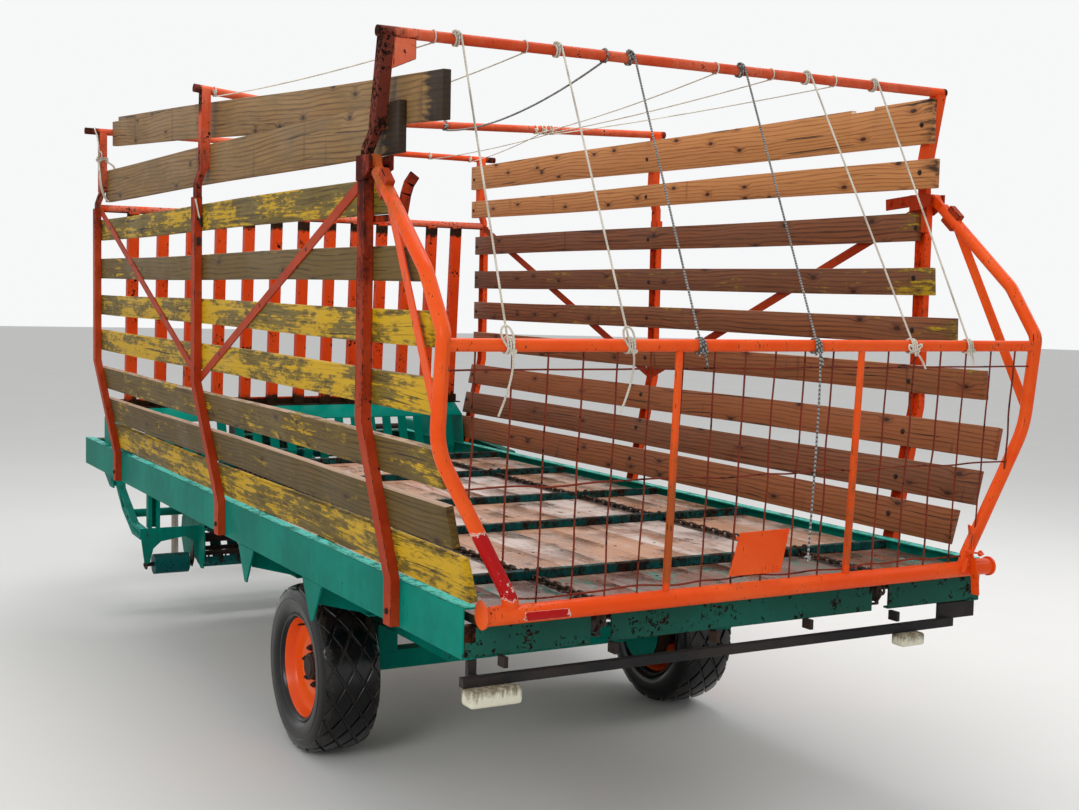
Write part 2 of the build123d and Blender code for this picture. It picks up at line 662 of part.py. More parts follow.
def stripper_bands():
    """Curved strips round the reel, held by two bars behind the tines' reach."""
    out = []
    (ya, za), (yb, zb) = around_reel(BAND_R, BAND_ENDS[0]), around_reel(BAND_R, BAND_ENDS[1])
    gap = [(REEL_Y, REEL_Z), (REEL_Y + 3 * (ya - REEL_Y), REEL_Z + 3 * (za - REEL_Z)),
           (REEL_Y + 3 * (yb - REEL_Y), REEL_Z + 3 * (zb - REEL_Z))]
    for i in range(BAND_N):
        x = (i - (BAND_N - 1) / 2) * SLOT_PITCH
        a, b = x - BAND_WIDE / 2, x + BAND_WIDE / 2
        ring = rod((a, REEL_Y, REEL_Z), (b, REEL_Y, REEL_Z), BAND_R)
        ring = ring - rod((x - BAND_WIDE, REEL_Y, REEL_Z), (x + BAND_WIDE, REEL_Y, REEL_Z), BAND_R - 4)
        ring = ring - prism_x(gap, a - 1, b + 1)
        out.append(ring)
        for deg in BAND_ENDS:
            p, q = around_reel(BAND_R - 4, deg), around_reel(BAR_REACH + 5, deg)
            out.append(flat((x, *p), (x, *q), 4, BAND_WIDE, (1, 0, 0)))
    for deg in BAND_ENDS:
        y, z = around_reel(BAR_REACH, deg)
        out.append(rod((-PICK_X, y, z), (PICK_X, y, z), 8))
    return fuse(out)


def reel():
    """Tine reel with four tine bars."""
    parts = [rod((-PICK_X - 8, REEL_Y, REEL_Z), (PICK_X + 8, REEL_Y, REEL_Z), RAKE_PIN_R),
             rod((-PICK_X + 12, REEL_Y, REEL_Z), (PICK_X - 12, REEL_Y, REEL_Z), 28)]
    for s in (-1, 1):
        parts.append(rod((s * (PICK_X - 20), REEL_Y, REEL_Z), (s * (PICK_X - 14), REEL_Y, REEL_Z), 130))
    for k in range(4):
        a = math.radians(45 + 90 * k)
        cy, cz = REEL_Y + 112 * math.cos(a), REEL_Z + 112 * math.sin(a)
        parts.append(rod((-PICK_X + 16, cy, cz), (PICK_X - 16, cy, cz), 14))
        for i in range(BAND_N - 1):
            x = (i - (BAND_N - 2) / 2) * SLOT_PITCH
            ty, tz = REEL_Y + REEL_TIP * math.cos(a - 0.12), REEL_Z + REEL_TIP * math.sin(a - 0.12)
            parts.append(flat((x, cy, cz), (x, ty, tz), 9, 9, (1, 0, 0)))
    return fuse(parts)


def roller(side):
    x0, x1 = PICK_X + 50, LIFT_X - 70
    r = rod((x0, ROLLER_Y, ROLLER_Z), (x1, ROLLER_Y, ROLLER_Z), ROLLER_R)
    r = r - rod((x0 - 1, ROLLER_Y, ROLLER_Z), (x1 + 1, ROLLER_Y, ROLLER_Z), 12 + FIT)
    return r if side > 0 else mirror_x(r)


def roller_axles():
    """Axles and end plates of the gauge rollers."""
    out = []
    for s in (-1, 1):
        rr = rod((s * (PICK_X + 22), ROLLER_Y, ROLLER_Z), (s * (LIFT_X - 14), ROLLER_Y, ROLLER_Z), 12)
        parts = [rr]
        for x0 in (PICK_X + 24, LIFT_X - 30):
            a, b = s * x0, s * (x0 + 8)
            pts = [(ARCH_Y, 345), (ARCH_Y, 318), (ROLLER_Y - 18, ROLLER_Z - 26), (ROLLER_Y + 22, ROLLER_Z - 26),
                   (ROLLER_Y + 26, ROLLER_Z + 24), (ARCH_Y, 420)]
            parts.append(prism_x(pts, min(a, b), max(a, b)))
        out.append(fuse(parts))
    return out


def crop_guard():
    """Cross bar with rods that hold the crop down in front of the reel."""
    y = REEL_Y
    parts = [rod((-PICK_X, y + 230, 470), (PICK_X, y + 230, 470), 17)]
    for i in range(BAND_N):
        x = (i - (BAND_N - 1) / 2) * SLOT_PITCH
        parts.append(rod((x, y + 230, 470), (x, y + 115, 585), 6))
    return fuse(parts)


# Drawbar, jack and drive

ARM_A = (430.0, FRONT_Y, 868.0)
ARM_B = (80.0, EYE_Y - 440.0, EYE_Z + 15.0)
ARM_WIDE = 80.0


def arm_at(y, row):
    """The drawbar arm's centre at place y, along X (row 0) or Z (row 2)."""
    return ARM_A[row] + (ARM_B[row] - ARM_A[row]) * (y - ARM_A[1]) / (ARM_B[1] - ARM_A[1])


def drawbar_arm(side):
    y = FRONT_Y - 100
    a = (side * arm_at(y, 0), y, arm_at(y, 2))
    b = (side * ARM_B[0], ARM_B[1], ARM_B[2])
    arm = flat(a, b, 110, ARM_WIDE, (1, 0, 0)) & box(-900, 900, FRONT_Y, EYE_Y, EYE_Z - 260, EYE_Z + 440)
    return arm - drawbar_nose()


def drawbar_nose():
    return box(-125, 125, EYE_Y - 520, EYE_Y - 200, EYE_Z - 45, EYE_Z + 75)


TIE_Y = (FRONT_Y + EYE_Y) / 2 - 340.0


def drawbar_tie():
    half = arm_at(TIE_Y, 0) + 31
    z = arm_at(TIE_Y, 2)
    tie = box(-half, half, TIE_Y - 30, TIE_Y + 30, z - 30, z + 50)
    return tie - drawbar_arm(-1) - drawbar_arm(1)


def hitch_eye():
    y = EYE_Y - 200
    ring = rod((0, EYE_Y, EYE_Z - EYE_THICK / 2), (0, EYE_Y, EYE_Z + EYE_THICK / 2), 58)
    neck = box(-38, 38, y, EYE_Y - 20, EYE_Z - EYE_THICK / 2, EYE_Z + EYE_THICK / 2)
    base = box(-90, 90, y, y + 18, EYE_Z - 45, EYE_Z + 75)
    return (ring + neck + base) - rod((0, EYE_Y, EYE_Z - 40), (0, EYE_Y, EYE_Z + 40), EYE_R)


JACK_Y = (FRONT_Y + EYE_Y) / 2 - 10.0
JACK_X = -(arm_at(JACK_Y, 0) + ARM_WIDE / 2 + 64.0)


def jack():
    x, y = JACK_X, JACK_Y
    outer = box(x - 32, x + 32, y - 32, y + 32, 330, 1010)
    clamp = box(x + 32, -arm_at(y, 0) - 4, y - 60, y + 60, 775, 850) - drawbar_arm(-1)
    cap = rod((x, y, 1010), (x, y, 1050), 26)
    crank = rod((x, y, 1035), (x, y + 190, 1035), 9) + rod((x, y + 190, 1030), (x, y + 190, 1140), 12)
    return outer + clamp + cap + crank


def jack_foot():
    x, y = JACK_X, JACK_Y
    return rod((x, y, 10), (x, y, 330), 24) + rod((x, y, 0), (x, y, 12), 105)


def gearbox():
    body = box(-105, 105, FRONT_Y, FRONT_Y + 210, 800, 1010)
    body = body + rod((0, FRONT_Y + 210, 915), (0, FRONT_Y + 250, 915), 60)
    return body


def pto_stub():
    return rod((0, FRONT_Y + 250, 915), (0, FRONT_Y + 335, 915), 17.5)


CASE_X = BEAM_OUT + 48.0


def drive_shaft():
    """Cross shaft from the gearbox to the drive case on the right."""
    return rod((105, FRONT_Y + 110, 962), (CASE_X, FRONT_Y + 110, 962), 20)


def drive_case():
    """Chain case outside the right beam."""
    a, b = FRONT_SHAFT_Y - 70, FRONT_Y + 150
    pts = [(a, 815), (b, 860), (b + 35, 895), (b + 35, 985), (b, 1015), (b - 870, 1000), (a, 945), (a - 25, 915),
           (a - 25, 845)]
    case = prism_x(pts, CASE_X, CASE_X + 62)
    for y in (a + 50, b - 910, b - 370):
        case = case + box(BEAM_OUT, CASE_X, y, y + 50, 860, 920)
    return case


# Tailgate

GATE_START = 58.0


def gate_frame():
    """Tubular tailgate with its eyes, discs and flat braces."""
    parts = []
    knee_y, knee_z = 30.0, 1972.0
    d = math.hypot(PIVOT_Y - knee_y, PIVOT_Z - knee_z)
    uy, uz = (knee_y - PIVOT_Y) / d, (knee_z - PIVOT_Z) / d
    start = (ARM_X, PIVOT_Y + uy * GATE_START, PIVOT_Z + uz * GATE_START)
    pts = [start, (ARM_X, knee_y, knee_z), (ARM_X, BAR_Y, 1790), (ARM_X, -62, 1452), (GATE_FOOT_X, LOW_Y, LOW_Z)]
    arm = tube(pts, ARM_R, [120.0, 60.0, 260.0])
    eye = rod((ARM_X - 22, PIVOT_Y, PIVOT_Z), (ARM_X + 10, PIVOT_Y, PIVOT_Z), 22)
    tongue = flat((ARM_X - 6, PIVOT_Y, PIVOT_Z),
                  (ARM_X - 6, PIVOT_Y + uy * (GATE_START + 20), PIVOT_Z + uz * (GATE_START + 20)), 40, 20, (1, 0, 0))
    parts += both(arm + eye + tongue)
    parts.append(rod((-ARM_X + 10, BAR_Y, BAR_Z), (ARM_X - 10, BAR_Y, BAR_Z), BAR_R))
    left, right = -(BEAM_OUT - 36), BEAM_OUT - 19
    parts.append(rod((left + 10, LOW_Y, LOW_Z), (right + 2, LOW_Y, LOW_Z), LOW_R))
    for x in (left, right):
        parts.append(rod((x, LOW_Y, LOW_Z), (x + 10, LOW_Y, LOW_Z), 45))
    for x in (-385, 370):
        parts.append(rod((x, BAR_Y, BAR_Z), (x + 5, LOW_Y, LOW_Z), 15))
    for s in (-1, 1):
        x = s * ARM_X
        parts.append(flat((x, 330, 2218), (x, -58, 1532), 40, 6, (1, 0, 0)))
    gate = fuse(parts)
    return gate - rod((-ARM_X - 90, PIVOT_Y, PIVOT_Z), (ARM_X + 90, PIVOT_Y, PIVOT_Z), GATE_PIN_R + FIT)


def gate_mesh(frame):
    h = MESH_D / 2
    parts = []

    def at(z):
        return BAR_Y + (LOW_Y - BAR_Y) * (BAR_Z - z) / (BAR_Z - LOW_Z)

    n = 19
    for i in range(n):
        x = (ARM_X - 103) * (2 * i / (n - 1) - 1)
        z_low = LOW_Z + LOW_R
        if abs(x) > GATE_FOOT_X + 13:
            z_low = LOW_Z + (abs(x) - GATE_FOOT_X) * (1452 - LOW_Z) / (ARM_X - GATE_FOOT_X) + 40
        parts.append(flat((x, at(BAR_Z - BAR_R), BAR_Z - BAR_R), (x, at(z_low), z_low), MESH_D, MESH_D, (1, 0, 0)))
    for z, half in ((1682, ARM_X - 58), (1328, ARM_X - 112), (984, ARM_X - 304)):
        y = at(z)
        parts.append(box(-half, half, y - h, y + h, z - h, z + h))
    return fuse(parts) - frame


def gate_plate():
    """Small plate on the outside of the mesh."""
    d = Vector(0, LOW_Y - BAR_Y, LOW_Z - BAR_Z).normalized()
    out = Vector(0, d.Z, -d.Y)
    z0 = 990.0
    y0 = BAR_Y + (LOW_Y - BAR_Y) * (BAR_Z - z0) / (BAR_Z - LOW_Z)
    plane = Plane(origin=Vector(0, y0, z0) + out * (MESH_D / 2), x_dir=(1, 0, 0), z_dir=out)
    face = plane * make_face(Polyline((-136, 2), (82, 0), (108, 150), (-100, 147), close=True))
    return extrude(face, 3)


def gate_pivots():
    """Lugs behind the rear posts that carry the gate pins."""
    out = []
    post_y = POSTS[0][1]
    inner = POST_IN - 43
    for s in (-1, 1):
        xo = POST_IN + POST_D
        parts = []
        a, b = s * xo, s * (xo + 8)
        pts = [(PIVOT_Y - 26, PIVOT_Z - 26), (PIVOT_Y - 26, PIVOT_Z + 20), (post_y + 25, PIVOT_Z + 20),
               (post_y + 25, PIVOT_Z - 60), (post_y - 30, PIVOT_Z - 60)]
        parts.append(prism_x(pts, min(a, b), max(a, b)))
        a, b = s * inner, s * (inner + 8)
        pts = [(PIVOT_Y - 26, PIVOT_Z - 26), (PIVOT_Y - 26, PIVOT_Z + 20), (post_y + 25, PIVOT_Z + 20),
               (post_y + 25, PIVOT_Z - 42), (post_y - 20, PIVOT_Z - 42)]
        parts.append(prism_x(pts, min(a, b), max(a, b)))
        a, b = s * (inner + 8), s * POST_IN
        parts.append(box(min(a, b), max(a, b), post_y - 20, post_y + 25, PIVOT_Z - 42, PIVOT_Z + 18))
        parts.append(rod((s * inner, PIVOT_Y, PIVOT_Z), (s * (xo + 8), PIVOT_Y, PIVOT_Z), GATE_PIN_R))
        out.append(fuse(parts))
    return out


# Rear lights

BAR_LIGHT_Z = 735.0


def light_bar():
    z0, z1 = BAR_LIGHT_Z - 15, BAR_LIGHT_Z + 15
    a, b, c = BEAM_OUT + 13, BEAM_OUT - 163, BEAM_OUT - 53
    bar = box(-a, b, -36, -6, z0, z1)
    left = box(-c - 30, -c, -6, 26, z0, z1) + box(-c - 30, -c, 6, 26, z0, BEAM_Z0)
    right = box(b - 30, b, -6, 26, z0, z1) + box(b - 30, BEAM_OUT - 8, 14, 26, BAR_LIGHT_Z, BEAM_Z0)
    return bar + left + right


def lamps():
    left = box(-BEAM_OUT - 7, -BEAM_OUT + 171, -78, -6, BAR_LIGHT_Z - 71, BAR_LIGHT_Z - 15)
    right = box(640, 750, -70, -6, BAR_LIGHT_Z - 61, BAR_LIGHT_Z - 15)
    return left, right


def main():
    os.makedirs("parts", exist_ok=True)
    gate = gate_frame()
    nodes = {
        "chassis_beams": [beam(-1), beam(1)], "floor_bearers": cross_members(),
        "end_members": [front_member()] + rear_member(), "axle_members": axle_members(),
        "axle_carriers": axle_carriers(), "axle": axle_with_plates(),
        "floor_planks": planks(), "floor_shafts": shafts(), "scraper_chains": [chain(-1), chain(1)],
        "scraper_bars": scrapers(),
        "side_posts": posts(-1) + posts(1), "side_boards_left": boards(-1),
        "side_boards_right": boards(1), "upper_boards_left": upper_boards("left"),
        "upper_boards_right": upper_boards("right"), "side_braces": braces(),
        "hoops": [hoop(*row) for row in HOOPS],
        "front_grille": grille(), "feed_comb": feed_front(), "feed_throat": throat(),
        "feed_rake": feed_rake(), "rake_bearings": rake_bearings(),
        "lift_brackets": lift_brackets(), "pickup_frame": pickup_frame(), "stripper_bands": stripper_bands(),
        "pickup_reel": reel(), "gauge_roller_left": roller(-1), "gauge_roller_right": roller(1),
        "roller_axles": roller_axles(), "crop_guard": crop_guard(),
        "drawbar_arms": [drawbar_arm(-1), drawbar_arm(1)], "drawbar_nose": [drawbar_nose(), drawbar_tie()],
        "hitch_eye": hitch_eye(), "jack": jack(), "jack_foot": jack_foot(), "gearbox": gearbox(),
        "pto_stub": pto_stub(), "drive_shaft": drive_shaft(), "drive_case": drive_case(),
        "gate_frame": gate, "gate_mesh": gate_mesh(gate), "gate_plate": gate_plate(),
        "gate_pivots": gate_pivots(), "light_bar": light_bar(), "lamps": list(lamps()),
        "tyre_right": tyre(), "rim_right": rim(), "hub_right": hub(),
        "tyre_left": mirror_x(tyre()), "rim_left": mirror_x(rim()), "hub_left": mirror_x(hub()),
    }
    for name, shape in nodes.items():
        if isinstance(shape, list):
            shape = Compound(children=list(shape))
        export_step(Pos(0, SHIFT_Y, 0) * shape, "parts/%s.step" % name)


if __name__ == "__main__":
    main()
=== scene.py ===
"""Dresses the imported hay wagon: worn paint, weathered boards, treaded tyres, chains, ropes and wires."""
import json
import logging
import math
import random
from dataclasses import dataclass
from enum import Enum

import bmesh
import bpy
from mathutils import Matrix, Vector, noise
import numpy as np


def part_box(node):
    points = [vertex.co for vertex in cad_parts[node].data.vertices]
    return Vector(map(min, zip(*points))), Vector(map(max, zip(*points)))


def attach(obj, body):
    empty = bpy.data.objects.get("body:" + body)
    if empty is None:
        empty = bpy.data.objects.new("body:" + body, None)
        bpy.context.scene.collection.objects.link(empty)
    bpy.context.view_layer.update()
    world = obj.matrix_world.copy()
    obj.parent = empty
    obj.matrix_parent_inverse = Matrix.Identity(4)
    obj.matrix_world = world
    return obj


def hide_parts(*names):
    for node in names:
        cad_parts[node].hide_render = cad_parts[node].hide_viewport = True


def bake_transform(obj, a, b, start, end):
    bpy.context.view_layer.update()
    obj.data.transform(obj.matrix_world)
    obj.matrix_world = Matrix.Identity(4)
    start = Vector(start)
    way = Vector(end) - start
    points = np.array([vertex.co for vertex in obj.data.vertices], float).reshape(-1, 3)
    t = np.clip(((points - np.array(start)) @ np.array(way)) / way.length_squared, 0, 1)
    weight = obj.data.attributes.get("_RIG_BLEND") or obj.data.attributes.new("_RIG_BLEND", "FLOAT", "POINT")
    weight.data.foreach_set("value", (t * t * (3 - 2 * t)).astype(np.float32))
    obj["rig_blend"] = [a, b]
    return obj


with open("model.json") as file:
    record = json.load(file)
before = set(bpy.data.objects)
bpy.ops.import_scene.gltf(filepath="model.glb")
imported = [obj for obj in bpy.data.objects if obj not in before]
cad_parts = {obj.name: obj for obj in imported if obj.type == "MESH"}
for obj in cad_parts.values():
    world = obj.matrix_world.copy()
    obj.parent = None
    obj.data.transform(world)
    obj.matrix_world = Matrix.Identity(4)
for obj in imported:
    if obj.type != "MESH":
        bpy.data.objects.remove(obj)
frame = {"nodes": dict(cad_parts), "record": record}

LOG = logging.getLogger("hay_wagon")
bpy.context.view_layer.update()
SHIFT_Y = -3.4656

Colour = tuple[float, float, float]
Point = tuple[float, float, float]


class Slot(Enum):
    """The record's material slots, and two finishes that only the scene has."""

    TEAL = "teal_paint"
    GATE = "gate_orange"
    POST = "post_red"
    HOOP = "hoop_red"
    GRILLE = "grille_orange"
    YELLOW = "boards_yellow"
    BROWN = "boards_brown"
    GREY = "boards_grey"
    NEW = "boards_new"
    PLANK = "plank_wood"
    RIM = "rim_orange"
    TYRE = "tyre_rubber"
    ROLLER = "roller_teal"
    IRON = "dark_iron"
    CHAIN = "chain_steel"
    BLACK = "black_paint"
    LAMP = "lamp_plastic"
    PIN = "pin_steel"
    WIRE = "mesh_wire"
    ROPE = "white_rope"
    BRAID = "grey_rope"
    FLOOR = "studio_floor"


class Body(Enum):
    """The bodies that added pieces ride on."""

    CHASSIS = "chassis"
    GATE = "tailgate"
    LEFT = "wheel_left"
    RIGHT = "wheel_right"


def rgb(red: int, green: int, blue: int) -> Colour:
    """A linear colour from its numbers of 0 to 255."""
    return tuple((part / 255) ** 2.2 for part in (red, green, blue))


def at(x: float, y: float, z: float) -> Vector:
    """A point in mm, with y from the beams' rear end, in the row frame."""
    return Vector((x / 1000, y / 1000 + SHIFT_Y, z / 1000))


def aim(place: Vector, towards: Vector, roll: float = 0.0) -> Matrix:
    """A matrix that puts a shape at a place with its Z axis along a direction."""
    turn = towards.to_track_quat("Z", "Y").to_matrix().to_4x4()
    return Matrix.Translation(place) @ turn @ Matrix.Rotation(roll, 4, "Z")


def between(x: float, start: tuple[float, float], end: tuple[float, float]) -> float:
    """The height at x on the straight line through two points."""
    return start[1] + (end[1] - start[1]) * (x - start[0]) / (end[0] - start[0])


# Shader maths


class Sock:
    """A shader value whose operators add Math nodes."""

    def __init__(self, tree: "ShaderTree", out: bpy.types.NodeSocket) -> None:
        """Keeps the tree and the output socket."""
        self.tree = tree
        self.out = out

    def _math(self, kind: str, first: object, second: object) -> "Sock":
        """Adds one Math node."""
        return self.tree.node("ShaderNodeMath", {"operation": kind}, {0: first, 1: second})

    def __add__(self, other: object) -> "Sock":
        """self + other."""
        return self._math("ADD", self, other)

    def __radd__(self, other: object) -> "Sock":
        """other + self."""
        return self._math("ADD", other, self)

    def __sub__(self, other: object) -> "Sock":
        """self - other."""
        return self._math("SUBTRACT", self, other)

    def __rsub__(self, other: object) -> "Sock":
        """other - self."""
        return self._math("SUBTRACT", other, self)

    def __mul__(self, other: object) -> "Sock":
        """self * other."""
        return self._math("MULTIPLY", self, other)

    def __rmul__(self, other: object) -> "Sock":
        """other * self."""
        return self._math("MULTIPLY", other, self)

    def also(self, output: str) -> "Sock":
        """Another output of the same node."""
        return Sock(self.tree, self.out.node.outputs[output])


class ShaderTree:
    """One material and the calls that add its nodes."""

    def __init__(self, name: str) -> None:
        """Makes an empty material.

        Args:
            name: the material's name.
        """
        self.material = bpy.data.materials.new(name)
        self.material.use_nodes = True
        self.nodes = self.material.node_tree.nodes
        self.links = self.material.node_tree.links
        self.nodes.clear()
        self.coords = self.node("ShaderNodeTexCoord", out="Object")

    def node(self, kind: str, settings: dict | None = None, sockets: dict | None = None,
             out: object = 0) -> Sock:
        """Adds a node.

        Args:
            kind: the node's type.
            settings: its properties, set first.
            sockets: values or links of its inputs.
            out: the output that is wanted.

        Returns:
            The output as a value.
        """
        made = self.nodes.new(kind)
        for key, value in (settings or {}).items():
            setattr(made, key, value)
        for key, value in (sockets or {}).items():
            if isinstance(value, Sock):
                self.links.new(value.out, made.inputs[key])
            else:
                made.inputs[key].default_value = value
        return Sock(self, made.outputs[out] if len(made.outputs) else None)

    def scaled(self, vector: Sock, by: Point) -> Sock:
        """A vector times another."""
        return self.node("ShaderNodeVectorMath", {"operation": "MULTIPLY"}, {0: vector, 1: by})

    def shifted(self, vector: Sock, by: Sock) -> Sock:
        """A vector whose Y has a value added."""
        step = self.node("ShaderNodeCombineXYZ", {}, {1: by})
        return self.node("ShaderNodeVectorMath", {"operation": "ADD"}, {0: vector, 1: step})

    def noise(self, vector: Sock, scale: float, detail: float = 4.0, rough: float = 0.55) -> Sock:
        """Noise from 0 to 1."""
        sockets = {"Vector": vector, "Scale": scale, "Detail": detail, "Roughness": rough}
        return self.node("ShaderNodeTexNoise", {}, sockets, "Fac")

    def step(self, value: Sock, low: float, high: float, top: float = 1.0) -> Sock:
        """A soft step from 0 at low to top at high."""
        return self.node("ShaderNodeMapRange", {"interpolation_type": "SMOOTHSTEP"},
                         {0: value, 1: low, 2: high, 3: 0.0, 4: top})

    def mix(self, share: Sock | float, first: Sock | Colour, second: Sock | Colour) -> Sock:
        """A mix of two colours."""
        sides = [value if isinstance(value, Sock) else (*value, 1.0) for value in (first, second)]
        return self.node("ShaderNodeMix", {"data_type": "RGBA"}, {0: share, 6: sides[0], 7: sides[1]}, 2)

    def attribute(self, name: str, out: str = "Fac") -> Sock:
        """A value stored on the mesh."""
        return self.node("ShaderNodeAttribute", {"attribute_name": name}, out=out)

    def axis(self, letter: str) -> Sock:
        """One of the Object coordinates."""
        return self.node("ShaderNodeSeparateXYZ", {}, {0: self.coords}, letter)

    def bump(self, height: Sock, depth: float) -> Sock:
        """A normal bent by a height."""
        return self.node("ShaderNodeBump", {}, {"Distance": depth, "Height": height}, "Normal")

    def finish(self, sockets: dict) -> bpy.types.Material:
        """Adds the surface shader and the output.

        Args:
            sockets: values or links of the shader's inputs.

        Returns:
            The material.
        """
        shader = self.node("ShaderNodeBsdfPrincipled", {}, sockets)
        self.node("ShaderNodeOutputMaterial", {}, {"Surface": shader})
        return self.material


# Finishes


@dataclass(frozen=True)
class Paint:
    """Old enamel on steel, faded, chipped to rust and streaked with dirt; its dark stain colour also paints
    shade, and its light patch colour also paints a highlight on top faces, where a piece asks for them.
    """

    base: Colour
    faded: Colour
    rust: Colour = rgb(72, 40, 26)
    bare: Colour = rgb(34, 27, 24)
    grime_and_shade: Colour = rgb(52, 38, 28)
    patch_and_sheen: Colour = rgb(190, 20, 28)
    chips: float = 0.30
    # How strong the dirt streaks and the painted shade are.
    dirt: float = 0.45
    fade: float = 0.7
    rough: float = 0.38
    metallic: float = 0.0
    gloss: float = 0.12
    scratch: float = 0.0
    edge: Colour | None = None

    def build(self, name: str) -> bpy.types.Material:
        """The material.

        Args:
            name: the material's name.

        Returns:
            The finished material.
        """
        t = ShaderTree(name)
        broad = t.noise(t.coords, 1.9, 3.0)
        middle = t.noise(t.coords, 11.0, 5.0, 0.62)
        fine = t.noise(t.coords, 70.0, 5.0, 0.65)
        runs = t.noise(t.scaled(t.coords, (22.0, 22.0, 3.6)), 1.0, 5.0, 0.66)
        worn, soil_and_shade = t.attribute("worn"), t.attribute("soil_and_shade")
        colour = t.mix(t.step(broad * 0.6 + middle * 0.4, 0.38, 0.64, self.fade), self.base, self.faded)
        # The patch value gives real patches of other paint, and on the teal steel the painted highlight of
        # the top faces.
        patch_and_sheen = t.attribute("patch_and_sheen") + (middle + fine) * 0.9
        if self.edge:
            colour = t.mix(t.step(patch_and_sheen, 1.24, 1.27), colour, self.edge)
        colour = t.mix(t.step(patch_and_sheen, 1.30, 1.36), colour, self.patch_and_sheen)
        # Dirt runs, and painted shade in the dark stain colour where a piece raises its per-vertex dirt
        # value.
        stain = t.step(runs * 0.45 + middle * 0.35 + fine * 0.2 + soil_and_shade * 0.36, 0.56, 0.78, self.dirt)
        colour = t.mix(stain, colour, self.grime_and_shade)
        chip = t.step(fine * 0.55 + middle * 0.45 + worn * 0.11 + soil_and_shade * 0.06, 0.94 - self.chips,
                      0.97 - self.chips)
        metal = t.mix(t.step(fine, 0.4, 0.6), self.rust, self.bare)
        colour = t.mix(chip, colour, metal)
        if self.scratch:
            lines = t.noise(t.scaled(t.coords, (160.0, 90.0, 14.0)), 1.0, 3.0, 0.6)
            thin = t.step(lines * 0.7 + middle * 0.3, 0.615, 0.645, self.scratch)
            colour = t.mix(thin, colour, self.bare)
        rough = self.rough + chip * 0.35 + stain * 0.3
        height = (1.0 - chip) * 0.7 + fine * 0.35 + middle * 0.3
        return t.finish({"Base Color": colour, "Roughness": rough, "Metallic": self.metallic,
                         "Specular IOR Level": self.gloss, "Normal": t.bump(height, 0.0009)})


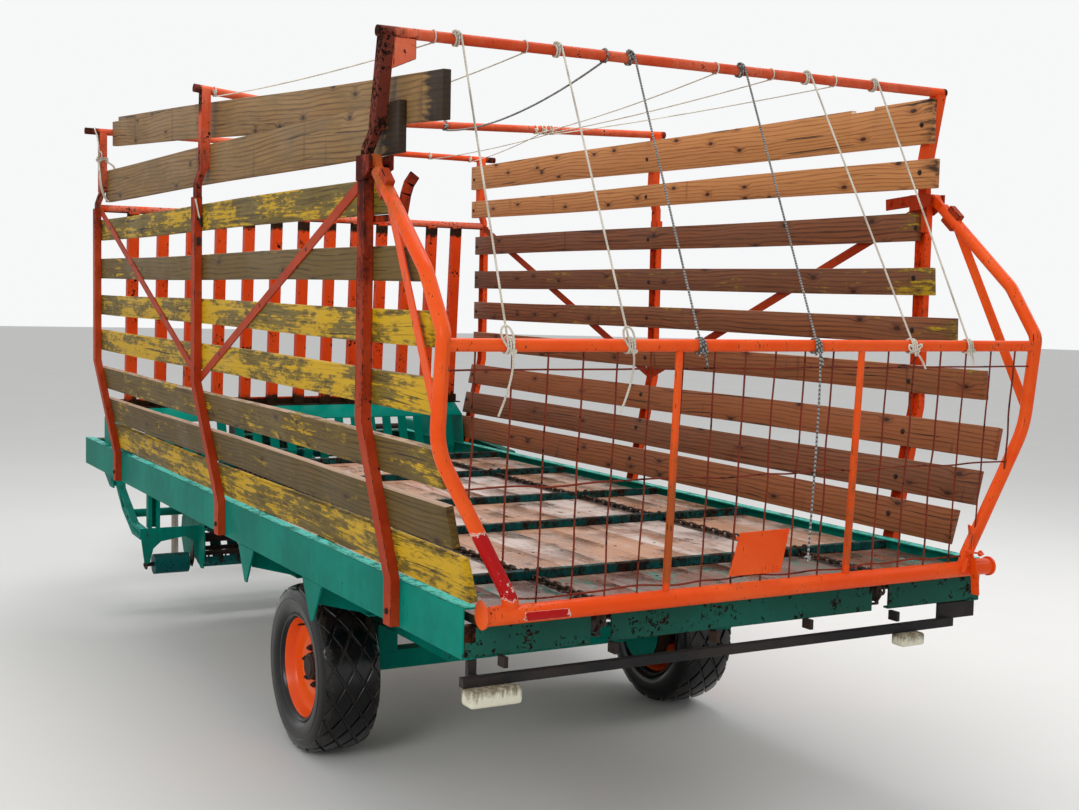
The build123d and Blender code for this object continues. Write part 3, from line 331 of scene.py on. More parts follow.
@dataclass(frozen=True)
class Wood:
    """Sawn softwood that has stood outside, with grain, knots, cracks and remains of paint, and a painted
    highlight on the faces that look up.
    """

    pale: Colour
    dark: Colour
    grey: Colour
    coat: Colour = rgb(178, 146, 32)
    old_coat: Colour = rgb(122, 104, 44)
    knot: Colour = rgb(58, 34, 22)
    painted_top_highlight: Colour = rgb(196, 164, 140)
    weather: float = 0.6
    knots: float = 0.5
    rough: float = 0.52
    wet: float = 0.10
    specks: float = 0.0
    spread: float = 0.10
    scrap: Colour = rgb(40, 125, 112)
    speck: Colour = rgb(30, 22, 18)
    mire: Colour = rgb(96, 56, 48)
    split: Colour = rgb(30, 20, 13)
    soot: Colour = rgb(34, 27, 22)

    def build(self, name: str) -> bpy.types.Material:
        """The material.

        Args:
            name: the material's name.

        Returns:
            The finished material.
        """
        t = ShaderTree(name)
        lie = t.attribute("lie", "Vector")
        tone, soil_and_shade, coat = t.attribute("tone"), t.attribute("soil_and_shade"), t.attribute("coat")
        cell = t.node("ShaderNodeTexVoronoi", {"voronoi_dimensions": "2D"},
                      {"Vector": t.scaled(lie, (3.6, 8.2, 0.0)), "Scale": 1.0, "Randomness": 0.9}, "Distance")
        there = t.step(t.node("ShaderNodeSeparateXYZ", {}, {0: cell.also("Color")}, "X"), 1.0 - self.knots,
                       1.04 - self.knots)
        ring = (1.0 - t.step(cell, 0.03, 0.26)) * there
        core = (1.0 - t.step(cell, 0.045, 0.085)) * there
        halo = (1.0 - t.step(cell, 0.07, 0.22)) * there
        sway = t.noise(t.scaled(lie, (1.3, 3.2, 0.0)), 1.0, 2.0, 0.4)
        bent = t.shifted(lie, ring * 0.013 + sway * 0.06)
        flame = t.node("ShaderNodeTexWave", {"bands_direction": "Y"},
                       {"Vector": t.scaled(bent, (0.10, 1.0, 1.0)), "Scale": 17.0, "Distortion": 6.0,
                        "Detail": 3.0, "Detail Scale": 0.8, "Detail Roughness": 0.6}, "Fac")
        line = t.step(flame, 0.55, 1.0)
        fibre = t.noise(t.scaled(bent, (4.5, 250.0, 90.0)), 1.0, 5.0, 0.62)
        streak = t.noise(t.scaled(bent, (1.1, 42.0, 20.0)), 1.0, 4.0, 0.6)
        crack = t.step(t.noise(t.scaled(bent, (1.4, 66.0, 3.0)), 1.0, 3.0, 0.5), 0.675, 0.705)
        blotch = t.noise(t.scaled(lie, (2.6, 9.0, 3.0)), 1.0, 7.0, 0.70)
        rag = t.noise(t.scaled(lie, (16.0, 60.0, 20.0)), 1.0, 5.0, 0.7)
        scar = t.step(t.noise(t.scaled(lie, (15.0, 1.5, 1.0)), 1.0, 2.0, 0.5), 0.66, 0.74, 0.45)
        grain = fibre * 0.46 + streak * 0.36 + line * 0.21 + tone * self.spread
        colour = t.mix(t.step(grain, 0.32, 0.82), self.pale, self.dark)
        colour = t.mix(t.step(blotch + tone * 0.2, 0.40, 0.66, self.weather), colour, self.grey)
        colour = t.mix(halo * 0.45 + scar, colour, self.dark)
        flakes = blotch * 0.38 + fibre * 0.20 + streak * 0.22 + rag * 0.20 + tone * 0.02
        kept = t.step(flakes + coat * 0.34, 0.64, 0.74)
        bright = t.step(flakes + coat * 0.09, 0.575, 0.615)
        paint = t.mix(bright, t.mix(t.step(fibre, 0.3, 0.7), self.old_coat, self.dark), self.coat)
        # Painted highlight: the faces that look up are lightened towards a pale colour.
        colour = t.mix(t.attribute("upper"), colour, self.painted_top_highlight)
        colour = t.mix(kept * t.step(coat, 0.0, 0.05), colour, paint)
        colour = t.mix(core * (1.0 - kept * t.step(coat, 0.3, 0.9, 0.7)), colour, self.knot)
        if self.specks:
            spot = t.noise(t.coords, 42.0, 4.0, 0.7)
            colour = t.mix(t.step(spot, 0.68, 0.74, self.specks), colour, self.speck)
            near = 1.0 - t.step(t.axis("Y") + blotch * 0.16, SHIFT_Y + 0.46, SHIFT_Y + 0.56)
            colour = t.mix(near * 0.82, colour, self.mire)
            colour = t.mix(t.step(spot * 0.5 + blotch * 0.5, 0.53, 0.56) * near, colour, self.scrap)
        colour = t.mix(t.step(fibre * 0.74 + line * 0.26, 0.60, 0.76, 0.55), colour, self.dark)
        colour = t.mix(crack * 0.8, colour, self.split)
        charred = t.step(soil_and_shade + streak * 0.9 + rag * 0.5 + blotch * 0.3, 1.18, 1.42, 0.92)
        colour = t.mix(charred, colour, self.soot)
        pool = t.step(t.noise(t.coords, 3.2, 4.0, 0.6), 0.40, 0.62, self.wet)
        rough = self.rough + fibre * 0.22 - pool
        height = fibre * 0.55 + line * 0.25 - crack * 1.2 + core * 0.3 + kept * 0.25
        sockets = {"Base Color": colour, "Roughness": rough, "Normal": t.bump(height, 0.0016),
                   "Specular IOR Level": 0.5 if self.specks else 0.26}
        if self.specks:
            sockets |= {"Coat Weight": pool * 2.6, "Coat Roughness": 0.14}
        return t.finish(sockets)


@dataclass(frozen=True)
class Rubber:
    """Wet black tyre rubber with dried mud in its grooves."""

    base: Colour = rgb(8, 9, 11)
    dust: Colour = rgb(58, 50, 42)
    dull: Colour = rgb(18, 19, 22)
    rough: float = 0.15

    def build(self, name: str) -> bpy.types.Material:
        """The material.

        Args:
            name: the material's name.

        Returns:
            The finished material.
        """
        t = ShaderTree(name)
        smear = t.noise(t.coords, 7.0, 5.0, 0.6)
        fine = t.noise(t.coords, 160.0, 4.0, 0.7)
        mud = t.step(smear * 0.7 + fine * 0.3 + t.attribute("soil_and_shade") * 0.2, 0.58, 0.78, 0.6)
        colour = t.mix(mud, t.mix(t.step(fine, 0.3, 0.7), self.base, self.dull), self.dust)
        return t.finish({"Base Color": colour, "Roughness": self.rough + mud * 0.4 + fine * 0.10,
                         "Specular IOR Level": 0.36, "Normal": t.bump(fine * 0.5 + smear * 0.5, 0.0007)})


@dataclass(frozen=True)
class Cordage:
    """Twisted rope fibre, dirty in the lay."""

    pale: Colour
    dirty: Colour
    banded: float = 0.0
    band: Colour = rgb(40, 40, 42)

    def build(self, name: str) -> bpy.types.Material:
        """The material.

        Args:
            name: the material's name.

        Returns:
            The finished material.
        """
        t = ShaderTree(name)
        stain = t.noise(t.coords, 9.0, 4.0, 0.6)
        fibre = t.noise(t.coords, 900.0, 3.0, 0.6)
        colour = t.mix(t.step(stain * 0.6 + fibre * 0.4, 0.4, 0.68, 0.85), self.pale, self.dirty)
        if self.banded:
            strand = t.node("ShaderNodeTexWave", {"bands_direction": "DIAGONAL"},
                            {"Vector": t.coords, "Scale": 44.0, "Distortion": 0.8, "Detail": 1.0}, "Fac")
            colour = t.mix(t.step(strand, 0.35, 0.65, self.banded), colour, self.band)
        return t.finish({"Base Color": colour, "Roughness": 0.86 + fibre * 0.1,
                         "Normal": t.bump(fibre, 0.0006)})


@dataclass(frozen=True)
class Plastic:
    """A pale lamp cover with dirt run down its sides."""

    base: Colour = rgb(214, 210, 188)
    dirt: Colour = rgb(92, 78, 52)

    def build(self, name: str) -> bpy.types.Material:
        """The material.

        Args:
            name: the material's name.

        Returns:
            The finished material.
        """
        t = ShaderTree(name)
        runs = t.noise(t.scaled(t.coords, (70.0, 70.0, 8.0)), 1.0, 4.0, 0.6)
        spots = t.noise(t.coords, 60.0, 5.0, 0.7)
        top = t.step(t.axis("Z"), 0.668, 0.722)
        dirt = t.step(runs * 0.5 + spots * 0.4 + top * 0.28, 0.52, 0.78, 0.9)
        return t.finish({"Base Color": t.mix(dirt, self.base, self.dirt), "Roughness": 0.34 + dirt * 0.4,
                         "Normal": t.bump(spots, 0.0004)})


@dataclass(frozen=True)
class Backdrop:
    """The studio's pale floor."""

    tone: Colour = rgb(232, 231, 228)
    shade: Colour = rgb(226, 225, 222)

    def build(self, name: str) -> bpy.types.Material:
        """The material.

        Args:
            name: the material's name.

        Returns:
            The finished material.
        """
        t = ShaderTree(name)
        faint = t.noise(t.coords, 0.7, 3.0)
        return t.finish({"Base Color": t.mix(faint, self.tone, self.shade), "Roughness": 0.9})


FINISHES = {
    # The teal's light patch colour is a painted highlight on the steel's top faces.
    Slot.TEAL: Paint(rgb(0, 112, 98), rgb(14, 138, 120), patch_and_sheen=rgb(84, 196, 180), chips=0.29, dirt=0.55,
                     rough=0.40, gloss=0.03, scratch=0.35),
    Slot.GATE: Paint(rgb(230, 76, 22), rgb(238, 98, 44), grime_and_shade=rgb(132, 80, 42), patch_and_sheen=rgb(176, 24, 26),
                     chips=0.295, dirt=0.75, rough=0.30, scratch=0.95, edge=rgb(226, 200, 188)),
    # The posts' and hoops' dark stain colours also paint the shade on the wagon's left side.
    Slot.POST: Paint(rgb(154, 50, 24), rgb(180, 72, 40), grime_and_shade=rgb(62, 30, 28), patch_and_sheen=rgb(226, 76, 30),
                     chips=0.32, dirt=0.95, rough=0.44, gloss=0.06, scratch=0.5),
    Slot.HOOP: Paint(rgb(198, 72, 40), rgb(224, 126, 96), grime_and_shade=rgb(66, 34, 32), patch_and_sheen=rgb(224, 82, 38),
                     chips=0.345, dirt=0.85, rough=0.46, gloss=0.06, scratch=0.5),
    Slot.GRILLE: Paint(rgb(218, 66, 24), rgb(232, 86, 38), patch_and_sheen=rgb(214, 112, 88), chips=0.375,
                       dirt=1.1, gloss=0.06, scratch=0.8),
    Slot.RIM: Paint(rgb(236, 82, 18), rgb(240, 100, 34), chips=0.27, dirt=0.35, rough=0.26, gloss=0.28),
    Slot.ROLLER: Paint(rgb(14, 78, 78), rgb(28, 100, 96), grime_and_shade=rgb(30, 30, 30), chips=0.39, dirt=1.0,
                       rough=0.40, gloss=0.06),
    Slot.IRON: Paint(rgb(46, 40, 37), rgb(68, 50, 40), chips=0.36, dirt=0.5, rough=0.50),
    Slot.CHAIN: Paint(rgb(60, 52, 48), rgb(84, 62, 48), chips=0.33, dirt=0.5, rough=0.42, metallic=0.5),
    Slot.BLACK: Paint(rgb(38, 37, 38), rgb(58, 52, 48), chips=0.30, dirt=0.5, rough=0.45),
    Slot.PIN: Paint(rgb(150, 144, 134), rgb(112, 100, 88), chips=0.33, dirt=0.5, rough=0.40, metallic=0.5),
    Slot.WIRE: Paint(rgb(120, 50, 34), rgb(96, 44, 32), chips=0.38, dirt=0.5, rough=0.5),
    Slot.YELLOW: Wood(rgb(104, 82, 40), rgb(60, 45, 22), rgb(84, 71, 36), coat=rgb(198, 156, 20),
                      old_coat=rgb(126, 106, 34)),
    Slot.BROWN: Wood(rgb(146, 88, 54), rgb(76, 42, 28), rgb(118, 80, 60), weather=0.5, spread=0.20),
    Slot.GREY: Wood(rgb(148, 114, 70), rgb(88, 62, 36), rgb(112, 90, 58), knot=rgb(62, 42, 28), weather=0.7,
                    knots=0.4),
    Slot.NEW: Wood(rgb(194, 132, 80), rgb(128, 74, 38), rgb(154, 110, 72), knot=rgb(60, 32, 20), weather=0.4,
                   knots=0.75),
    # The planks' weathered grey is real weathering, made paler so that it also paints the white sheen of the
    # wet floor.
    Slot.PLANK: Wood(rgb(194, 148, 120), rgb(110, 70, 50), rgb(218, 204, 196), weather=0.88, rough=0.30,
                     wet=0.28, knots=0.2, specks=0.7, spread=0.26),
    Slot.TYRE: Rubber(),
    Slot.LAMP: Plastic(),
    Slot.ROPE: Cordage(rgb(226, 220, 204), rgb(160, 150, 130)),
    Slot.BRAID: Cordage(rgb(186, 186, 182), rgb(110, 108, 102), banded=0.85),
    Slot.FLOOR: Backdrop(),
}


class Palette:
    """Builds each finish once."""

    _made: dict[Slot, bpy.types.Material] = {}

    @classmethod
    def material(cls, slot: Slot) -> bpy.types.Material:
        """The material of a slot."""
        if slot not in cls._made:
            cls._made[slot] = FINISHES[slot].build(f"{slot.value}_worn")
        return cls._made[slot]


# Mesh work

BODY_OF = {node: body for body, nodes in frame["record"]["behaviour"]["bodies"].items() for node in nodes}
SHARP = math.radians(32.0)
FLAT = math.radians(1.0)
WELD = 2e-5


def rank(part: list[bmesh.types.BMVert]) -> tuple[float, float]:
    """A loose part's mean height, and its mean place along X."""
    return round(sum(v.co.z for v in part) / len(part), 3), sum(v.co.x for v in part) / len(part)


class Mould:
    """A mesh in the making, shaped by bmesh operators."""

    def __init__(self, node: str | None = None) -> None:
        """Starts empty, or from a merged copy of a CAD node's mesh.

        Args:
            node: the CAD node.
        """
        self.bm = bmesh.new()
        if node:
            self.bm.from_mesh(frame["nodes"][node].data)
            bmesh.ops.remove_doubles(self.bm, verts=self.bm.verts, dist=WELD)
            bmesh.ops.dissolve_limit(self.bm, angle_limit=FLAT, verts=self.bm.verts, edges=self.bm.edges,
                                     delimit={"NORMAL"})

    def faces(self, name: str) -> bmesh.types.BMLayerItem:
        """A number layer on the faces."""
        layers = self.bm.faces.layers.float
        return layers.get(name) or layers.new(name)

    def points(self, name: str) -> bmesh.types.BMLayerItem:
        """A number layer on the vertices."""
        layers = self.bm.verts.layers.float
        return layers.get(name) or layers.new(name)

    def block(self, low: Vector, high: Vector) -> "Mould":
        """Adds a box.

        Args:
            low: its lowest corner.
            high: its highest corner.

        Returns:
            The mould.
        """
        place = Matrix.Translation((low + high) / 2) @ Matrix.Diagonal((*(high - low), 1.0))
        bmesh.ops.create_cube(self.bm, size=1.0, matrix=place)
        return self

    def stick(self, start: Vector, end: Vector, wide: float, deep: float, roll: float = 0.0) -> "Mould":
        """Adds a straight flat or square bar.

        Args:
            start: one end's middle.
            end: the other end's middle.
            wide: its width.
            deep: its depth.
            roll: its turn about its own length.

        Returns:
            The mould.
        """
        size = Matrix.Diagonal((wide, deep, (end - start).length, 1.0))
        bmesh.ops.create_cube(self.bm, size=1.0, matrix=aim((start + end) / 2, end - start, roll) @ size)
        return self

    def rod(self, start: Vector, end: Vector, radius: float, sides: int = 16,
            tip: float | None = None) -> "Mould":
        """Adds a round bar, or a cone where the tip's radius is given."""
        bmesh.ops.create_cone(self.bm, cap_ends=True, segments=sides, radius1=radius,
                              radius2=radius if tip is None else tip, depth=(end - start).length,
                              matrix=aim((start + end) / 2, end - start))
        return self

    def lathe(self, profile: list[tuple[float, float]], centre: Vector, steps: int = 64) -> "Mould":
        """Adds a shape turned about an axis along X.

        Args:
            profile: places along the axis and radii, in mm.
            centre: the axis' middle.
            steps: the number of steps of the turn.

        Returns:
            The mould.
        """
        made = bmesh.new()
        ring = [made.verts.new(centre + Vector((along / 1000, 0.0, radius / 1000)))
                for along, radius in profile]
        edges = [made.edges.new(pair) for pair in zip(ring, ring[1:])]
        bmesh.ops.spin(made, geom=ring + edges, cent=centre, axis=(1, 0, 0), angle=math.tau, steps=steps,
                       use_merge=True)
        bmesh.ops.remove_doubles(made, verts=made.verts, dist=1e-6)
        bmesh.ops.recalc_face_normals(made, faces=made.faces)
        return self.join(made)

    def join(self, other: bmesh.types.BMesh) -> "Mould":
        """Adds another bmesh.

        Args:
            other: the bmesh, which is used up.

        Returns:
            The mould.
        """
        mesh = bpy.data.meshes.new("part")
        other.to_mesh(mesh)
        other.free()
        self.stamp(mesh)
        bpy.data.meshes.remove(mesh)
        return self

    def stamp(self, mesh: bpy.types.Mesh, *places: Matrix) -> "Mould":
        """Adds copies of a mesh.

        Args:
            mesh: the mesh to copy.
            places: where the copies go; without any, one stays where the mesh is.

        Returns:
            The mould.
        """
        for place in places or (Matrix.Identity(4),):
            copy = mesh.copy()
            copy.transform(place)
            self.bm.from_mesh(copy)
            bpy.data.meshes.remove(copy)
        return self

    def mesh(self, name: str = "part") -> bpy.types.Mesh:
        """The shape as a mesh to stamp; the mould is used up.

        Args:
            name: the mesh's name.

        Returns:
            The mesh.
        """
        made = bpy.data.meshes.new(name)
        self.bm.to_mesh(made)
        self.bm.free()
        return made

    def cuts(self, axis: int, places: list[float]) -> "Mould":
        """Cuts the mesh with planes across an axis.

        Args:
            axis: 0, 1 or 2.
            places: where the planes stand along it.

        Returns:
            The mould.
        """
        normal = Vector([float(axis == i) for i in range(3)])
        for place in places:
            geom = [*self.bm.verts, *self.bm.edges, *self.bm.faces]
            bmesh.ops.bisect_plane(self.bm, geom=geom, dist=1e-6, plane_co=normal * place, plane_no=normal)
        return self

    def bevel(self, width: float, segments: int = 1, sharp: float = SHARP) -> "Mould":
        """Rounds the sharp edges and marks their faces as worn.

        Args:
            width: how far from the edge the rounding starts.
            segments: its steps.
            sharp: the angle from which an edge counts as sharp.

        Returns:
            The mould.
        """
        worn = self.faces("worn")
        edges = [e for e in self.bm.edges if len(e.link_faces) == 2 and e.calc_face_angle(0.0) > sharp]
        made = bmesh.ops.bevel(self.bm, geom=edges, offset=width, offset_type="OFFSET", affect="EDGES",
                               segments=segments, profile=0.5, material=-1, clamp_overlap=True)
        for face in made["faces"]:
            face[worn] = 1.0
        return self

    def islands(self) -> list[list[bmesh.types.BMVert]]:
        """The loose parts, from the lowest up.

        Returns:
            The vertices of each part.
        """
        left, found = set(self.bm.verts), []
        while left:
            seed = left.pop()
            part, edge = [seed], [seed]
            while edge:
                near = [e.other_vert(v) for v in edge for e in v.link_edges]
                edge = list({v for v in near if v in left})
                left.difference_update(edge)
                part.extend(edge)
            found.append(part)
        return sorted(found, key=rank)

    def emit(self, name: str, slot: Slot, body: str, *nodes: str) -> bpy.types.Object:
        """Makes the piece.

        Args:
            name: its name.
            slot: its finish.
            body: the body that it rides on.
            nodes: the CAD nodes that it stands for.

        Returns:
            The piece.
        """
        for face in self.bm.faces:
            face.smooth = True
            face.material_index = 0
        for edge in self.bm.edges:
            edge.smooth = edge.calc_face_angle(0.0) < SHARP
        mesh = self.mesh(name)
        for spare in ("custom_normal", "sharp_face"):
            if spare in mesh.attributes:
                mesh.attributes.remove(mesh.attributes[spare])
        mesh.materials.clear()
        mesh.materials.append(Palette.material(slot))
        piece = bpy.data.objects.new(name, mesh)
        bpy.context.scene.collection.objects.link(piece)
        if slot is Slot.FLOOR:
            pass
        elif body:
            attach(piece, body)
        if nodes:
            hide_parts(*nodes)
        LOG.info("%s: %d faces", name, len(mesh.polygons))
        return piece


def bolt_mesh(across: float, high: float, washer: float = 0.0) -> bpy.types.Mesh:
    """A hexagon head on its washer, standing on the origin along Z.

    Args:
        across: its size over the corners.
        high: its height.
        washer: the washer's radius, or 0 for none.

    Returns:
        The mesh to stamp.
    """
    mould = Mould()
    base = 0.002 if washer else 0.0
    if washer:
        mould.rod(Vector(), Vector((0, 0, base)), washer, 14)
    bmesh.ops.create_cone(mould.bm, cap_ends=True, segments=6, radius1=across / 2, radius2=across / 2,
                          depth=high, matrix=Matrix.Translation((0, 0, base + high / 2)))
    top = [e for e in mould.bm.edges if all(v.co.z > base + high * 0.9 for v in e.verts)]
    bmesh.ops.bevel(mould.bm, geom=top, offset=across * 0.09, affect="EDGES", segments=1, profile=0.5,
                    material=-1)
    return mould.mesh("bolt")


def line_points(route: list[Vector], step: float) -> list[Vector]:
    """Evenly spaced points along straight runs.

    Args:
        route: the corners.
        step: the distance between the points.

    Returns:
        The points, with the route's last one.
    """
    out, spare = [route[0].copy()], 0.0
    for start, end in zip(route, route[1:]):
        long = (end - start).length
        place = step - spare
        while place < long:
            out.append(start.lerp(end, place / long))
            place += step
        spare = (spare + long) % step
    return out + [route[-1].copy()]


def curve_mesh(points: list[Vector], radius: float, sides: int = 3, closed: bool = False,
               smooth: bool = False, lay: float = 0.0,
               section: bpy.types.Object | None = None) -> bpy.types.Mesh:
    """A tube along points.

    Args:
        points: the line that it follows.
        radius: its radius.
        sides: how finely its section is round, or the steps between points of a smooth line.
        closed: whether its ends join.
        smooth: whether the points control a smooth line.
        lay: the length in which a twisted section turns once.
        section: a curve that is its section.

    Returns:
        The mesh.
    """
    data = bpy.data.curves.new("line", "CURVE")
    data.dimensions = "3D"
    spline = data.splines.new("NURBS" if smooth else "POLY")
    spline.points.add(len(points) - 1)
    gone = 0.0
    for index, (control, place) in enumerate(zip(spline.points, points)):
        gone += (place - points[max(index - 1, 0)]).length
        control.co = (*place, 1.0)
        control.tilt = math.tau * gone / lay if lay else 0.0
    spline.use_cyclic_u = closed
    if smooth:
        spline.order_u = 4
        spline.use_endpoint_u = not closed
        data.resolution_u = sides
    if section:
        data.bevel_mode, data.bevel_object = "OBJECT", section
    elif radius:
        data.bevel_depth, data.bevel_resolution = radius, sides if not smooth else 3
    data.use_fill_caps = not closed
    holder = bpy.data.objects.new("line", data)
    bpy.context.scene.collection.objects.link(holder)
    graph = bpy.context.evaluated_depsgraph_get()
    made = bpy.data.meshes.new_from_object(holder.evaluated_get(graph))
    bpy.data.objects.remove(holder)
    bpy.data.curves.remove(data)
    return made


def smooth_line(points: list[Vector], step: float) -> list[Vector]:
    """Evenly spaced points on a smooth line.

    Args:
        points: what controls the line.
        step: the distance between the new points.

    Returns:
        The new points.
    """
    made = curve_mesh(points, 0.0, sides=12, smooth=True)
    line = [v.co.copy() for v in made.vertices]
    bpy.data.meshes.remove(made)
    return line_points(line, step)


def nearest(line: list[Vector], place: Vector) -> Vector:
    """The nearest point of a line.

    Args:
        line: the corners of its straight runs.
        place: where to look from.

    Returns:
        The point.
    """
    spots = []
    for start, end in zip(line, line[1:]):
        run = end - start
        spots.append(start + run * min(max((place - start).dot(run) / run.length_squared, 0.0), 1.0))
    return min(spots, key=lambda spot: (place - spot).length_squared)


def rounded(knees: list[Vector], bends: tuple[float, ...]) -> list[Vector]:
    """A bent tube's middle line.

    Args:
        knees: its ends and the corners between them.
        bends: the radius of the bend at each corner.

    Returns:
        The line's points, seven in each bend.
    """
    out = [knees[0]]
    for before, knee, after, radius in zip(knees, knees[1:], knees[2:], bends):
        back, on = (before - knee).normalized(), (after - knee).normalized()
        reach = radius / math.tan(back.angle(on) / 2)
        for step in range(7):
            share = step / 6
            near, far = (knee + back * reach).lerp(knee, share), knee.lerp(knee + on * reach, share)
            out.append(near.lerp(far, share))
    return out + [knees[-1]]


# Sub-assemblies

SLOT_OF = {row["node"]: Slot(row["material_slot"]) for row in frame["record"]["subparts"]}


def dress(mould: Mould, node: str) -> bpy.types.Object:
    """Emits a mould as the piece that stands for a CAD node."""
    return mould.emit(f"{node}_worn", SLOT_OF[node], BODY_OF[node], node)


@dataclass
class Steelwork:
    """The welded steel parts: each is the CAD shape with its edges rounded and rubbed bare; some get a
    painted highlight on their top faces, and the rear member gets painted shade where it stands in the beams'
    hollow ends.
    """

    edges: tuple[tuple[str, float], ...] = (
        ("chassis_beams", 2.0), ("floor_bearers", 1.5), ("end_members", 1.5), ("axle_members", 1.5),
        ("axle_carriers", 2.0), ("axle", 1.5), ("floor_shafts", 1.0), ("scraper_bars", 3.0),
        ("side_braces", 1.2), ("feed_comb", 1.0), ("feed_throat", 1.0), ("feed_rake", 0.0),
        ("rake_bearings", 1.0), ("lift_brackets", 1.2), ("pickup_frame", 1.2), ("stripper_bands", 0.0),
        ("pickup_reel", 0.0), ("gauge_roller_left", 2.0), ("gauge_roller_right", 2.0), ("roller_axles", 1.0),
        ("crop_guard", 0.0), ("drawbar_arms", 4.0), ("drawbar_nose", 4.0), ("hitch_eye", 3.0), ("jack", 1.5),
        ("jack_foot", 1.5), ("gearbox", 3.0), ("pto_stub", 0.8), ("drive_shaft", 1.0), ("drive_case", 3.0),
        ("gate_pivots", 1.0), ("light_bar", 1.5))
    grimy: tuple[tuple[str, float], ...] = (
        ("end_members", 1.7), ("gate_pivots", 0.7), ("scraper_bars", 0.45), ("drive_case", 0.3),
        ("gearbox", 0.5), ("feed_throat", 0.3), ("pickup_frame", 0.3), ("axle_carriers", 0.25))
    # Parts whose top faces get a painted highlight in the paint's light patch colour, and how strong it is.
    painted_top_highlight: tuple[str, ...] = (
        "chassis_beams", "feed_throat", "drawbar_arms", "drawbar_nose", "pickup_frame")
    top_highlight_share: float = 0.46
    # Where the rear member stands in the beams' hollow ends, and how dark the painted shade there is.
    hollow: tuple[tuple[float, float], tuple[float, float]] = ((1.038, 1.100), (0.853, 0.940))
    hollow_shade: float = 7.0
    seam: float = 0.005
    rear_y: float = SHIFT_Y + 0.1

    def build(self) -> None:
        """Builds every part."""
        grimy = dict(self.grimy)
        for node, width in self.edges:
            mould = Mould(node)
            if width:
                mould.bevel(width / 1000)
            # Painted highlight: the faces that look up are pushed towards the light patch colour.
            if node in self.painted_top_highlight:
                patch_and_sheen = mould.faces("patch_and_sheen")
                for face in mould.bm.faces:
                    face[patch_and_sheen] = self.top_highlight_share * (face.normal.z > 0.9)
            if node in grimy:
                soil_and_shade = mould.points("soil_and_shade")
                for vert in mould.bm.verts:
                    vert[soil_and_shade] = grimy[node] * (1.0 if vert.co.x < 0 or node != "gate_pivots" else 0.2)
            if node == "end_members":
                self.paint_hollow_shade(mould)
            dress(mould, node)

    def paint_hollow_shade(self, mould: Mould) -> None:
        """Paints shade on the rear member's ends, which stand in the beams' hollow ends.

        Args:
            mould: the end members.
        """
        (inner, outer), (low, high) = self.hollow
        mould.cuts(0, [-inner, -inner - self.seam, inner + self.seam, inner])
        mould.cuts(2, [low - self.seam, low, high, high + self.seam])
        soil_and_shade = mould.points("soil_and_shade")
        for vert in mould.bm.verts:
            x, y, z = vert.co
            if inner + 0.004 < abs(x) < outer and low - 0.001 < z < high + 0.001 and y < self.rear_y:
                vert[soil_and_shade] = self.hollow_shade


